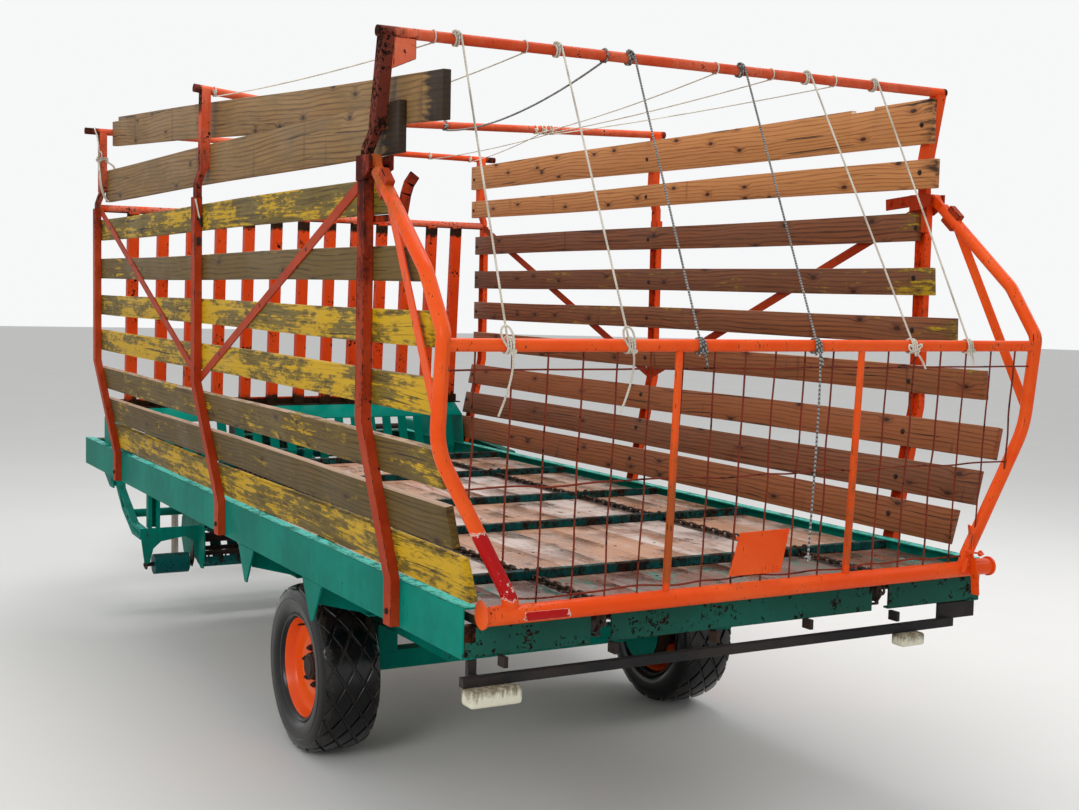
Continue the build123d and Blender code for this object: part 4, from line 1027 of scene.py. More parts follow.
@dataclass
class Bodywork:
    """The posts, the boards between them, the boards above and the bolts that hold them."""

    post_y: tuple[float, ...] = (500.0, 2430.0, 4400.0)
    beam_out: float = 1083.0
    beam_top: float = 958.0
    post_in: float = 1193.0
    bend_z: float = 1490.0
    post_deep: float = 34.0
    foot_nut_z: float = 850.0
    board_thick: float = 0.028
    board_z: tuple[tuple[float, float], ...] = (
        (988.0, 1121.0), (1144.0, 1274.0), (1326.0, 1446.0), (1548.0, 1660.0), (1748.0, 1856.0),
        (1943.0, 2053.0), (2157.0, 2270.0))
    coat_left: tuple[float, ...] = (0.9, 0.3, 0.55, 0.95, 1.0, 0.42, 0.85)
    coat_right: tuple[float, ...] = (0.0, 0.17, 0.13, 0.20, 0.29, 0.31, 0.20)
    upper_left: tuple[tuple[float, ...], ...] = (
        (360, 2430, 4420, 2461, 1132), (100, 2499, 4372, 2762, 1104))
    upper_right: tuple[tuple[float, ...], ...] = (
        (374, 2421, 4430, 2437, 1132), (405, 2623, 4440, 2638, 1132))
    upper_bolts: tuple[float, float, float, float] = (455, 2418, 4400, 4340)
    nicks: tuple[tuple[str, int, float, float, float], ...] = (
        ("upper_boards_left", 1, 4230, 4380, 22.0), ("upper_boards_right", 1, 730, 870, 13.0))
    brace_holes: tuple[tuple[float, float, tuple[float, ...]], ...] = (
        (500, 2285, (0.30, 0.565, 0.84)), (4400, 2330, (0.14, 0.385, 0.675)))
    brace_low: float = 1500.0
    hoop_cuts: tuple[float, ...] = (-1.235, -1.19, -1.14, -1.08, 1.08, 1.14, 1.19, 1.235)
    rear_bay: float = SHIFT_Y + 0.7
    shade_from: float = 1.45
    hoop_foot: tuple[float, float] = (2.34, 0.35)
    end_long: float = 0.22
    step: float = 0.11

    def face_x(self, z: float) -> float:
        """The posts' outer face at a height."""
        share = min(max((z - self.beam_top) / (self.bend_z - self.beam_top), 0.0), 1.0)
        return self.beam_out + (self.post_in - self.beam_out) * share + self.post_deep

    def nick(self, mould: Mould, node: str) -> None:
        """Lowers the upper edge of some boards over a stretch.

        Args:
            mould: the boards.
            node: their CAD node.
        """
        for row, index, start, end, depth in self.nicks:
            if row != node:
                continue
            low, high = (value / 1000 + SHIFT_Y for value in (start, end))
            part = mould.islands()[index]
            faces = list({face for vert in part for face in vert.link_faces})
            edges = list({edge for vert in part for edge in vert.link_edges})
            geom = [*part, *edges, *faces]
            for place in (low - 0.001, low, high, high + 0.001):
                cut = bmesh.ops.bisect_plane(mould.bm, geom=geom, dist=1e-6, plane_co=(0, place, 0),
                                             plane_no=(0, 1, 0))
                geom = list({*cut["geom"], *(item for item in geom if item.is_valid)})
            part = mould.islands()[index]
            inside = [v for v in part if low - 1e-5 < v.co.y < high + 1e-5]
            middle = sum(v.co.z for v in inside) / len(inside)
            for vert in inside:
                if vert.co.z > middle:
                    vert.co.z -= depth / 1000

    def boards(self, node: str, coats: tuple[float, ...], char: float, paint_end: float = 0.0) -> None:
        """One set of boards.

        Args:
            node: the CAD node.
            coats: how much paint each board keeps, from the lowest up.
            char: how dark the rear ends are.
            paint_end: how much more paint the rear ends of the upper rows keep.
        """
        rng = random.Random(node)
        mould = Mould(node)
        mould.bevel(0.003, 2)
        low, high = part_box(node)
        mould.cuts(1, [low.y + self.step * (i + 0.5) for i in range(int((high.y - low.y) / self.step))])
        mould.cuts(1, [low.y + self.end_long, low.y + 0.48])
        self.nick(mould, node)
        # Painted highlight: the faces that look up are marked to be lightened.
        upper = mould.faces("upper")
        for face in mould.bm.faces:
            face[upper] = 0.8 * (face.normal.z > 0.7)
        lie = mould.bm.verts.layers.float_vector.new("lie")
        tone, soil_and_shade, coat = (mould.points(name) for name in ("tone", "soil_and_shade", "coat"))
        for index, part in enumerate(mould.islands()):
            rear = min(v.co.y for v in part)
            front = max(v.co.y for v in part)
            near = [v.co for v in part if v.co.y < rear + 0.25]
            far = [v.co for v in part if v.co.y > front - 0.1]
            climb = sum(c.z for c in far) / len(far) - sum(c.z for c in near) / len(near)
            slope = climb / (front - rear - 0.2)
            shade, shift = rng.uniform(-0.8, 0.8), rng.uniform(0.0, 40.0)
            phase = rng.uniform(0.0, 6.0)
            for vert in part:
                place = vert.co
                along = place.y - rear
                vert[lie] = (place.y + shift, place.z - slope * along + shift * 1.7, place.x)
                vert[tone] = shade
                end = max(0.0, 1.0 - along / self.end_long)
                vert[coat] = coats[min(index, len(coats) - 1)] + (paint_end * end if index > 2 else 0.0)
                vert[soil_and_shade] = char * end + 0.12 * max(0.0, 1.0 - (front - place.y) / 0.2)
                place.z += 0.0030 * math.sin(along * 1.9 + phase) - 0.003
                if along < 0.02:
                    place.y += 0.0035 * noise.noise(place * 30.0)
        dress(mould, node)

    def posts(self) -> None:
        """The uprights: painted shade on the left side that grows towards the top and is darkest on the rear
        left, and some random dirt.
        """
        mould = Mould("side_posts").bevel(0.0016)
        mould.cuts(2, [0.9 + 0.12 * i for i in range(12)])
        soil_and_shade, patch_and_sheen = mould.points("soil_and_shade"), mould.points("patch_and_sheen")
        for vert in mould.bm.verts:
            x, y, z = vert.co
            # Painted shade: the left side is darkened, most at the rear left; the right side hardly.
            shade_weight = 0.06 if x > 0 else 1.0 if y < self.rear_bay else 0.45
            vert[soil_and_shade] = max(0.0, (z - self.shade_from) * 0.85) * shade_weight + 0.30 * abs(noise.noise(vert.co * 4.0))
            vert[patch_and_sheen] = 0.55 * (x > 0)
        dress(mould, "side_posts")

    def hoops(self) -> None:
        """The hoops: painted shade at their feet and outer ends, strong on the left side and darkest on the
        rear left, and black at the tubes' ends.
        """
        mould = Mould("hoops").bevel(0.0016)
        mould.cuts(2, [2.40 + 0.08 * i for i in range(5)]).cuts(0, list(self.hoop_cuts))
        soil_and_shade, patch_and_sheen = mould.points("soil_and_shade"), mould.points("patch_and_sheen")
        foot_z, foot_long = self.hoop_foot
        for vert in mould.bm.verts:
            x, y, z = vert.co
            # Painted shade: the left side is darkened, most at the rear left; the right side hardly.
            shade_weight = 0.10 if x > 0 else 1.0 if y < self.rear_bay else 0.40
            vert[patch_and_sheen] = 0.6 * (x > 1.1)
            foot = max(0.0, 1.0 - (z - foot_z) / foot_long) * (abs(x) > 1.1)
            foot += 0.35 * (x < -1.1) * (y < self.rear_bay)
            tip = 1.5 * (abs(x) > 1.2) * (z > 2.70)
            vert[soil_and_shade] = (1.1 * foot + 0.55 * (abs(x) > 1.15)) * shade_weight + tip
        dress(mould, "hoops")

    def bolts(self) -> None:
        """Round bolt heads on the boards' inner faces, and the nuts at the posts' feet."""
        rng = random.Random(5)
        mould, nut = Mould(), bolt_mesh(0.017, 0.006, 0.012)
        lean = math.atan2(self.post_in - self.beam_out, self.bend_z - self.beam_top)
        for side in (-1, 1):
            for y in self.post_y:
                for low, high in self.board_z:
                    middle = (low + high) / 2 + rng.uniform(-14, 14)
                    tilt = lean if middle < self.bend_z else 0.0
                    back = Vector((-side * math.cos(tilt), 0, math.sin(tilt)))
                    seat = at(side * (self.face_x(middle) - self.post_deep), y + rng.uniform(-10, 10), middle)
                    seat += back * self.board_thick
                    mould.rod(seat, seat + back * 0.005, 0.012, 12, 0.008)
                foot = at(side * (self.beam_out + self.post_deep), y, self.foot_nut_z)
                mould.stamp(nut, aim(foot, Vector((side, 0, 0))))
        for side, rows in ((-1, self.upper_left), (1, self.upper_right)):
            rear, middle, front, short = self.upper_bolts
            for y0, z0, y1, z1, x in rows:
                for y in (rear, middle, front if y1 > front else short):
                    seat = at(side * x, y, between(y, (y0, z0), (y1, z1)) + rng.uniform(-20, 20))
                    mould.rod(seat, seat + Vector((-side * 0.005, 0, 0)), 0.011, 12, 0.008)
        for y, z, shares in self.brace_holes:
            for share in shares:
                for side in (-1, 1):
                    along, high = y + (self.post_y[1] - y) * share, z + (self.brace_low - z) * share
                    seat = at(side * (self.post_in + 4), along, high)
                    mould.rod(seat, seat + Vector((side * 0.003, 0, 0)), 0.0085, 12)
        mould.emit("board_bolts", Slot.IRON, Body.CHASSIS.value)

    def build(self) -> None:
        """Builds both sides."""
        self.boards("side_boards_left", self.coat_left, 0.35)
        self.boards("side_boards_right", self.coat_right, 0.1, 0.3)
        self.boards("upper_boards_left", (0.0, 0.0), 0.95)
        self.boards("upper_boards_right", (0.0, 0.0), 0.45)
        self.posts()
        self.hoops()
        self.bolts()


@dataclass
class LoadFloor:
    """The planked floor with its nails and its two chains of round links."""

    bearer_y: tuple[float, ...] = (330.0, 899.0, 1701.0, 2601.0, 3398.0, 3801.0)
    plank_top: float = 925.0
    chain_x: float = 590.0
    shaft_y: tuple[float, float] = (54.0, 3960.0)
    shaft_z: float = 878.0
    chain_r: float = 55.0
    links: int = 204
    wire_r: float = 0.0048
    bend_r: float = 0.0105
    straight: float = 0.0145
    bar_y: tuple[float, ...] = (455.4, 1386.0, 2094.8, 3005.6, 3789.7)
    bar_top: float = 957.0
    plank_left: float = -556.0
    plank_wide: float = 185.3
    side_plank: float = 624.0

    def planks(self) -> None:
        """The planks, wet and rubbed along the chain lanes."""
        rng = random.Random(11)
        mould = Mould("floor_planks").bevel(0.0025, 2)
        low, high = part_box("floor_planks")
        mould.cuts(1, [low.y + 0.25 * (i + 1) for i in range(int((high.y - low.y) / 0.25))])
        lie = mould.bm.verts.layers.float_vector.new("lie")
        tone, soil_and_shade = mould.points("tone"), mould.points("soil_and_shade")
        for part in mould.islands():
            middle = sum(v.co.x for v in part) / len(part)
            lane = abs(abs(middle) - self.chain_x / 1000) < 0.02
            shade, shift = rng.uniform(-0.7, 0.7), rng.uniform(0, 40)
            for vert in part:
                vert[lie] = (vert.co.y + shift, vert.co.x + shift * 1.3, vert.co.z)
                vert[tone] = shade
                vert[soil_and_shade] = 0.72 if lane else 0.0
        dress(mould, "floor_planks")

    def nails(self) -> None:
        """Round nail heads where the planks cross the bearers."""
        mould = Mould()
        head = Mould().rod(Vector((0, 0, -0.001)), Vector((0, 0, 0.0012)), 0.006, 9).mesh()
        inner = [self.plank_left + self.plank_wide * i + gap for i in range(6) for gap in (30, 155)]
        outer = [side * (self.side_plank + gap) for side in (-1, 1) for gap in (35, 165, 240, 370)]
        for y in self.bearer_y:
            for x in inner + outer:
                mould.stamp(head, Matrix.Translation(at(x, y, self.plank_top)))
        mould.emit("plank_nails", Slot.IRON, Body.CHASSIS.value)

    def link(self) -> bpy.types.Mesh:
        """One round-wire link, along X.

        Returns:
            The mesh to stamp.
        """
        arc = [math.radians(a) for a in (-80, -40, 0, 40, 80)]
        ends = [Vector((self.straight + self.bend_r * math.cos(a), self.bend_r * math.sin(a), 0))
                for a in arc]
        ends += [Vector((-p.x, -p.y, 0)) for p in ends]
        return curve_mesh(ends, self.wire_r, sides=1, closed=True)

    def chain_place(self, gone: float) -> tuple[Vector, Vector, Vector]:
        """Where the chain's loop is at a length along it.

        Args:
            gone: the length in mm, from the rear shaft's top.

        Returns:
            The place, the direction and the outward normal.
        """
        rear, front = self.shaft_y
        run, turn = front - rear, math.pi * self.chain_r
        if gone < run:
            return at(0, rear + gone, self.shaft_z + self.chain_r), Vector((0, 1, 0)), Vector((0, 0, 1))
        if gone < run + turn:
            angle = (gone - run) / self.chain_r
            centre = front
        elif gone < 2 * run + turn:
            return (at(0, front - (gone - run - turn), self.shaft_z - self.chain_r), Vector((0, -1, 0)),
                    Vector((0, 0, -1)))
        else:
            angle = math.pi + (gone - 2 * run - turn) / self.chain_r
            centre = rear
        out = Vector((0, math.sin(angle), math.cos(angle)))
        place = at(0, centre, self.shaft_z) + out * self.chain_r / 1000
        return place, Vector((0, math.cos(angle), -math.sin(angle))), out

    def chains(self) -> None:
        """Both chains as one piece that stands for the CAD bands."""
        mould, link = Mould(), self.link()
        rear, front = self.shaft_y
        total = 2 * (front - rear) + math.tau * self.chain_r
        for index in range(self.links):
            place, along, out = self.chain_place(total * index / self.links)
            turn = Matrix((along, out.cross(along), out)).transposed().to_4x4()
            roll = Matrix.Rotation(math.radians(45 if index % 2 else -45), 4, "X")
            for x in (-self.chain_x, self.chain_x):
                mould.stamp(link, Matrix.Translation(place + Vector((x / 1000, 0, 0))) @ turn @ roll)
        dress(mould, "scraper_chains")

    def clamps(self) -> None:
        """The bolts that hold the chains under the scraper bars."""
        mould, head = Mould(), bolt_mesh(0.017, 0.006, 0.012)
        for y in self.bar_y:
            for x in (-self.chain_x, self.chain_x):
                for gap in (-24, 24):
                    mould.stamp(head, Matrix.Translation(at(x + gap, y, self.bar_top)))
        mould.emit("scraper_bolts", Slot.CHAIN, Body.CHASSIS.value)

    def build(self) -> None:
        """Builds the floor."""
        self.planks()
        self.nails()
        self.chains()
        self.clamps()


@dataclass
class Wheel:
    """A treaded tyre on a dished rim and its hub."""

    side: int
    centre_x: float = 870.0
    centre_y: float = 1720.0
    radius: float = 350.0
    around: int = 16
    row_pitch: float = 40.0
    groove: float = 5.0
    deep: float = 11.0
    wall: tuple[tuple[float, float], ...] = (
        (90, 200), (98, 203), (107, 207), (113, 214), (113.5, 219), (110, 222), (117, 229), (124, 240),
        (128.5, 256), (130, 275), (129.4, 283), (127.4, 285), (127.4, 289), (128.8, 291), (126.5, 305),
        (122, 318), (116, 327), (105, 333), (80, 337), (50, 339.3), (20, 340.3))
    rim_line: tuple[tuple[float, float], ...] = (
        (95, 214), (101, 215), (103, 211), (100, 205), (92, 199), (66, 193), (54, 186), (48, 172), (46, 150),
        (50, 126), (50, 104), (44, 92), (44, 60), (36, 60), (36, 92), (41, 104), (41, 124), (38, 150),
        (34, 178), (20, 183), (-60, 186), (-88, 197), (-97, 204), (-102, 211), (-100, 215), (-95, 214),
        (-92, 206), (-60, 196), (40, 193), (88, 205))
    hub_line: tuple[tuple[float, float], ...] = (
        (-156, 60), (-156, 150), (-132, 150), (-130, 146), (-122, 146), (-120, 150), (-98, 150), (-96, 140),
        (-96, 92), (-90, 88), (20, 88), (30, 58), (58, 55), (64, 53), (66, 44), (72, 40), (72, 0))
    nuts: int = 6
    nut_circle: float = 0.076
    muddy: tuple[float, float] = (333.0, 342.0)
    wall_soil: float = 300.0

    def body(self) -> str:
        """The body's name."""
        return (Body.LEFT if self.side < 0 else Body.RIGHT).value

    def tag(self) -> str:
        """left or right."""
        return "left" if self.side < 0 else "right"

    def centre(self) -> Vector:
        """The wheel's centre."""
        return at(self.side * self.centre_x, self.centre_y, self.radius)

    def turned(self, line: tuple[tuple[float, float], ...], closed: bool = True) -> list[tuple[float, float]]:
        """A profile for this side of the wagon.

        Args:
            line: the right wheel's places along the axis and radii.
            closed: whether the profile comes back to its start.

        Returns:
            The profile.
        """
        points = [(self.side * along, radius) for along, radius in line]
        return points + points[:1] if closed else points

    def crown(self, across: float) -> float:
        """The tread's radius at a distance from its middle, in mm."""
        return self.radius - 1.5 - max(0.0, abs(across) - 40.0) ** 2 / 56 ** 2 * 8.0

    def tread_block(self, cut: bool) -> bpy.types.Mesh:
        """One diamond block on the flat.

        Args:
            cut: whether it is a half block, for the shoulder.

        Returns:
            The mesh to stamp, in mm.
        """
        mould = Mould()
        pitch = math.tau * self.radius / self.around
        long, wide = pitch / 2, self.row_pitch
        share = 1.0 - self.groove / (long * wide / math.hypot(long, wide))
        bmesh.ops.create_circle(mould.bm, cap_ends=True, segments=4, radius=1.0,
                                matrix=Matrix.Diagonal((long * share, wide * share, 1.0, 1.0)))
        if cut:
            geom = [*mould.bm.verts, *mould.bm.edges, *mould.bm.faces]
            bmesh.ops.bisect_plane(mould.bm, geom=geom, plane_co=(0, -4, 0), plane_no=(0, 1, 0),
                                   clear_outer=True)
        grown = bmesh.ops.extrude_face_region(mould.bm, geom=mould.bm.faces[:])["geom"]
        top = [v for v in grown if isinstance(v, bmesh.types.BMVert)]
        bmesh.ops.translate(mould.bm, verts=top, vec=(0, 0, self.deep))
        rim = [e for e in mould.bm.edges if any(v in top for v in e.verts)]
        bmesh.ops.bevel(mould.bm, geom=rim, offset=2.4, affect="EDGES", segments=1, profile=0.5, material=-1)
        mould.cuts(0, [-40.0, -14.0, 14.0, 40.0]).cuts(1, [-14.0, 14.0])
        bmesh.ops.recalc_face_normals(mould.bm, faces=mould.bm.faces)
        return mould.mesh("tread_block")

    def tyre(self) -> None:
        """The carcass by a full spin, and the tread bent round it."""
        mould = Mould()
        half = list(self.wall)
        line = [(-a, r) for a, r in half] + half[::-1]
        mould.lathe(line + line[:1], self.centre(), 96)
        soil_and_shade = mould.points("soil_and_shade")
        tread = Mould()
        pitch = math.tau * self.radius / self.around
        whole, part = self.tread_block(False), self.tread_block(True)
        for row in range(-3, 4):
            across = row * self.row_pitch
            for step in range(self.around):
                place = Matrix.Translation((pitch * (step + (row % 2) / 2), across, 0))
                if abs(row) == 3:
                    tread.stamp(part, place @ Matrix.Diagonal((1, math.copysign(1, row), 1, 1)))
                else:
                    tread.stamp(whole, place)
        bmesh.ops.recalc_face_normals(tread.bm, faces=tread.bm.faces)
        for vert in tread.bm.verts:
            along, across, high = vert.co
            angle = along / self.radius
            radius = (self.crown(across) - self.deep + high) / 1000
            bent = Vector((across / 1000, radius * math.cos(angle), radius * math.sin(angle)))
            vert.co = self.centre() + bent
        bmesh.ops.recalc_face_normals(tread.bm, faces=tread.bm.faces)
        mould.join(tread.bm)
        low, high = self.muddy
        for vert in mould.bm.verts:
            reach = Vector((0, *(vert.co - self.centre()).yz)).length * 1000
            vert[soil_and_shade] = 0.9 if low < reach < high else 0.25 * (reach < self.wall_soil)
        mould.emit(f"tyre_{self.tag()}_tread", Slot.TYRE, self.body(), f"tyre_{self.tag()}")

    def rim(self) -> None:
        """The dished rim."""
        mould = Mould().lathe(self.turned(self.rim_line), self.centre(), 72)
        mould.emit(f"rim_{self.tag()}_dish", Slot.RIM, self.body(), f"rim_{self.tag()}")

    def hub(self) -> None:
        """The hub, drum, wheel nuts and valve."""
        mould = Mould().lathe(self.turned(self.hub_line, False), self.centre(), 48)
        out = Vector((self.side, 0, 0))
        nut = bolt_mesh(0.024, 0.014, 0.015)
        for index in range(self.nuts):
            angle = math.tau * index / self.nuts + 0.2
            spoke = Vector((0, math.cos(angle), math.sin(angle)))
            seat = self.centre() + spoke * self.nut_circle + out * 0.044
            mould.stamp(nut, aim(seat, out, angle))
            mould.rod(seat, seat + out * 0.022, 0.006, 10)
        valve = self.centre() + Vector((0, 0.06, 0.165)) + out * 0.046
        neck = valve + out * 0.035
        mould.rod(valve, neck, 0.005, 10).rod(neck, valve + out * 0.046, 0.004, 10)
        mould.emit(f"hub_{self.tag()}_nuts", Slot.IRON, self.body(), f"hub_{self.tag()}")

    def build(self) -> None:
        """Builds the wheel."""
        self.tyre()
        self.rim()
        self.hub()


@dataclass
class FrontWall:
    """The red bar grille, black where its bars meet the rail."""

    cut_z: tuple[float, ...] = (1.24, 1.30, 1.5, 2.0, 2.24, 2.29)
    bar_tops: tuple[float, float] = (2.285, 2.315)
    bar_feet: float = 1.245
    rail_z: float = 2.316

    def build(self) -> None:
        """Builds the grille."""
        mould = Mould("front_grille").bevel(0.0025)
        mould.cuts(2, list(self.cut_z))
        soil_and_shade, patch_and_sheen = mould.points("soil_and_shade"), mould.points("patch_and_sheen")
        low, high = self.bar_tops
        for vert in mould.bm.verts:
            z = vert.co.z
            vert[patch_and_sheen] = 0.5 * (z > self.rail_z)
            vert[soil_and_shade] = 1.3 if low < z < high else 0.9 if z < self.bar_feet else 0.0
        dress(mould, "front_grille")


@dataclass
class Gate:
    """The tubular tailgate with its wires and its plate."""

    bar_y: float = -98.0
    bar_z: float = 1757.0
    low_y: float = -50.0
    low_z: float = 937.0
    wires: int = 19
    reach: float = 1107.0
    arm_x: float = 1210.0
    foot_x: float = 927.0
    knee_z: float = 1452.0
    arm: tuple[Point, ...] = ((1210, 396, 2281), (1210, 30, 1972), (1210, -100, 1790), (1210, -62, 1452),
                              (927, -50, 944))
    bends: tuple[float, ...] = (0.120, 0.060, 0.260)
    bar_line: tuple[float, float] = (-100.0, 1762.0)
    low_line: tuple[float, float] = (-50.0, 944.0)
    upright_x: tuple[float, float] = (-385.0, 370.0)
    radii: tuple[float, float, float, float] = (0.029, 0.025, 0.0455, 0.015)
    stays: tuple[float, float, float, float] = (0.80, 0.80, 0.79, 0.86)
    disc_rim: float = 0.040
    skin: float = 0.0015
    wire_r: float = 0.0033
    bar_gap: float = 14.0
    foot_gap: float = 24.0
    rows: tuple[tuple[float, float], ...] = ((1682.0, 1190.0), (1328.0, 1122.0), (984.0, 930.0))
    patch_x: tuple[float, float] = (-0.911, -0.750)
    patch_z: tuple[float, float] = (0.99, 1.19)
    stripe: tuple[float, float] = (-0.66, 0.36)
    stripe_top: float = 0.984
    uprights_in: float = 0.42
    disc_x: float = -1.0455

    def frame(self) -> None:
        """The frame, with the patches of darker red paint."""
        mould = Mould("gate_frame")
        mould.bevel(0.0015, 1, math.radians(50.0))
        (left, right), (low, high), (under, over) = self.patch_x, self.patch_z, self.stripe
        mould.cuts(2, [1.0, 1.18, 1.22]).cuts(0, [left - 0.012, left + 0.012, right - 0.02, right + 0.02])
        self.slim(mould)
        patch_and_sheen, soil_and_shade = mould.points("patch_and_sheen"), mould.points("soil_and_shade")
        for vert in mould.bm.verts:
            x, _, z = vert.co
            facing = vert.normal
            arm = x < -0.93 and low < z < high
            tube = left < x < right and z < self.stripe_top and facing.y < -0.3 and under < facing.z < over
            vert[patch_and_sheen] = 0.62 * (arm or tube)
            upright = abs(x) < self.uprights_in and 1.0 < z < 1.73
            head = min(max((z - 2.10) / 0.16, 0.0), 1.0) * (0.7 if x < 0 else 0.15)
            cap = 1.5 * (x < self.disc_x - 0.008 and z < 1.0)
            vert[soil_and_shade] = (0.75 if x < 0 else 0.5) * upright + head + cap
        dress(mould, "gate_frame")

    def runs(self) -> list[tuple[list[Vector], float, float, Vector]]:
        """The frame's tubes, and how the old ones differ from them.

        Returns:
            For each tube its middle line, its radius, the share of the radius that stays, and its shift.
        """
        arm, bar, low, upright = zip(self.radii, self.stays)
        out = []
        for side in (-1, 1):
            knees = [at(side * x, y, z) for x, y, z in self.arm]
            out.append((rounded(knees, self.bends), *arm, Vector()))
        out.append(([at(-1200, *self.bar_line), at(1200, *self.bar_line)], *bar, Vector((0, 0.002, -0.005))))
        out.append(([at(-1060, *self.low_line), at(1070, *self.low_line)], *low, Vector((0, 0, -0.007))))
        for x in self.upright_x:
            out.append(([at(x, *self.bar_line), at(x + 5, *self.low_line)], *upright, Vector()))
        return out

    def slim(self, mould: Mould) -> None:
        """Draws the tubes' walls in to the thinner ones that the old gate has.

        Args:
            mould: the gate's frame.
        """
        runs = self.runs()
        for vert in mould.bm.verts:
            move = Vector()
            for line, radius, share, shift in runs:
                away = vert.co - nearest(line, vert.co)
                if vert.co.x < self.disc_x and away.length > self.disc_rim:
                    continue
                if away.length < radius + self.skin:
                    move += away * (share - 1.0) + shift
            vert.co += move

    def at_z(self, z: float) -> float:
        """The gate plane's y at a height."""
        return self.bar_y + (self.low_y - self.bar_y) * (self.bar_z - z) / (self.bar_z - self.low_z)

    def mesh(self) -> None:
        """Thin round wires, bent a little by use."""
        rng = random.Random(3)
        mould = Mould()
        top, count = self.bar_z - self.bar_gap, 9
        for index in range(self.wires):
            x = self.reach * (2 * index / (self.wires - 1) - 1)
            foot = self.low_z + self.foot_gap
            if abs(x) > self.foot_x + 13:
                climb = (abs(x) - self.foot_x) * (self.knee_z - self.low_z) / (self.arm_x - self.foot_x)
                foot = self.low_z + climb + self.foot_gap
            line = []
            for step in range(count + 1):
                z = top + (foot - top) * step / count
                bow = math.sin(math.pi * step / count)
                line.append(at(x + bow * rng.uniform(-5, 5), self.at_z(z) + bow * rng.uniform(-5, 5), z))
            mould.stamp(curve_mesh(smooth_line(line, 0.035), self.wire_r, sides=1))
        for z, half in self.rows:
            wave = 9.0 if z < 1600 else 3.0
            places = [-half + 2 * half * i / 24 for i in range(25)]
            line = [at(x, self.at_z(z) + 5 + rng.uniform(-2, 2) * (abs(x) < half - 1),
                       z + rng.uniform(-wave, wave) * (abs(x) < half - 1)) for x in places]
            mould.stamp(curve_mesh(smooth_line(line, 0.03), self.wire_r, sides=1))
        dress(mould, "gate_mesh")

    def plate(self) -> None:
        """The small bare plate with its bolts."""
        mould = Mould("gate_plate").bevel(0.0008)
        head = bolt_mesh(0.012, 0.005)
        out = Vector((0, -1, -0.061)).normalized()
        for x, z in ((-112, 1120), (90, 1118), (-116, 1006), (66, 1006)):
            mould.stamp(head, aim(at(x, self.at_z(z) - 6, z), out))
        dress(mould, "gate_plate")

    def build(self) -> None:
        """Builds the gate."""
        self.frame()
        self.mesh()
        self.plate()


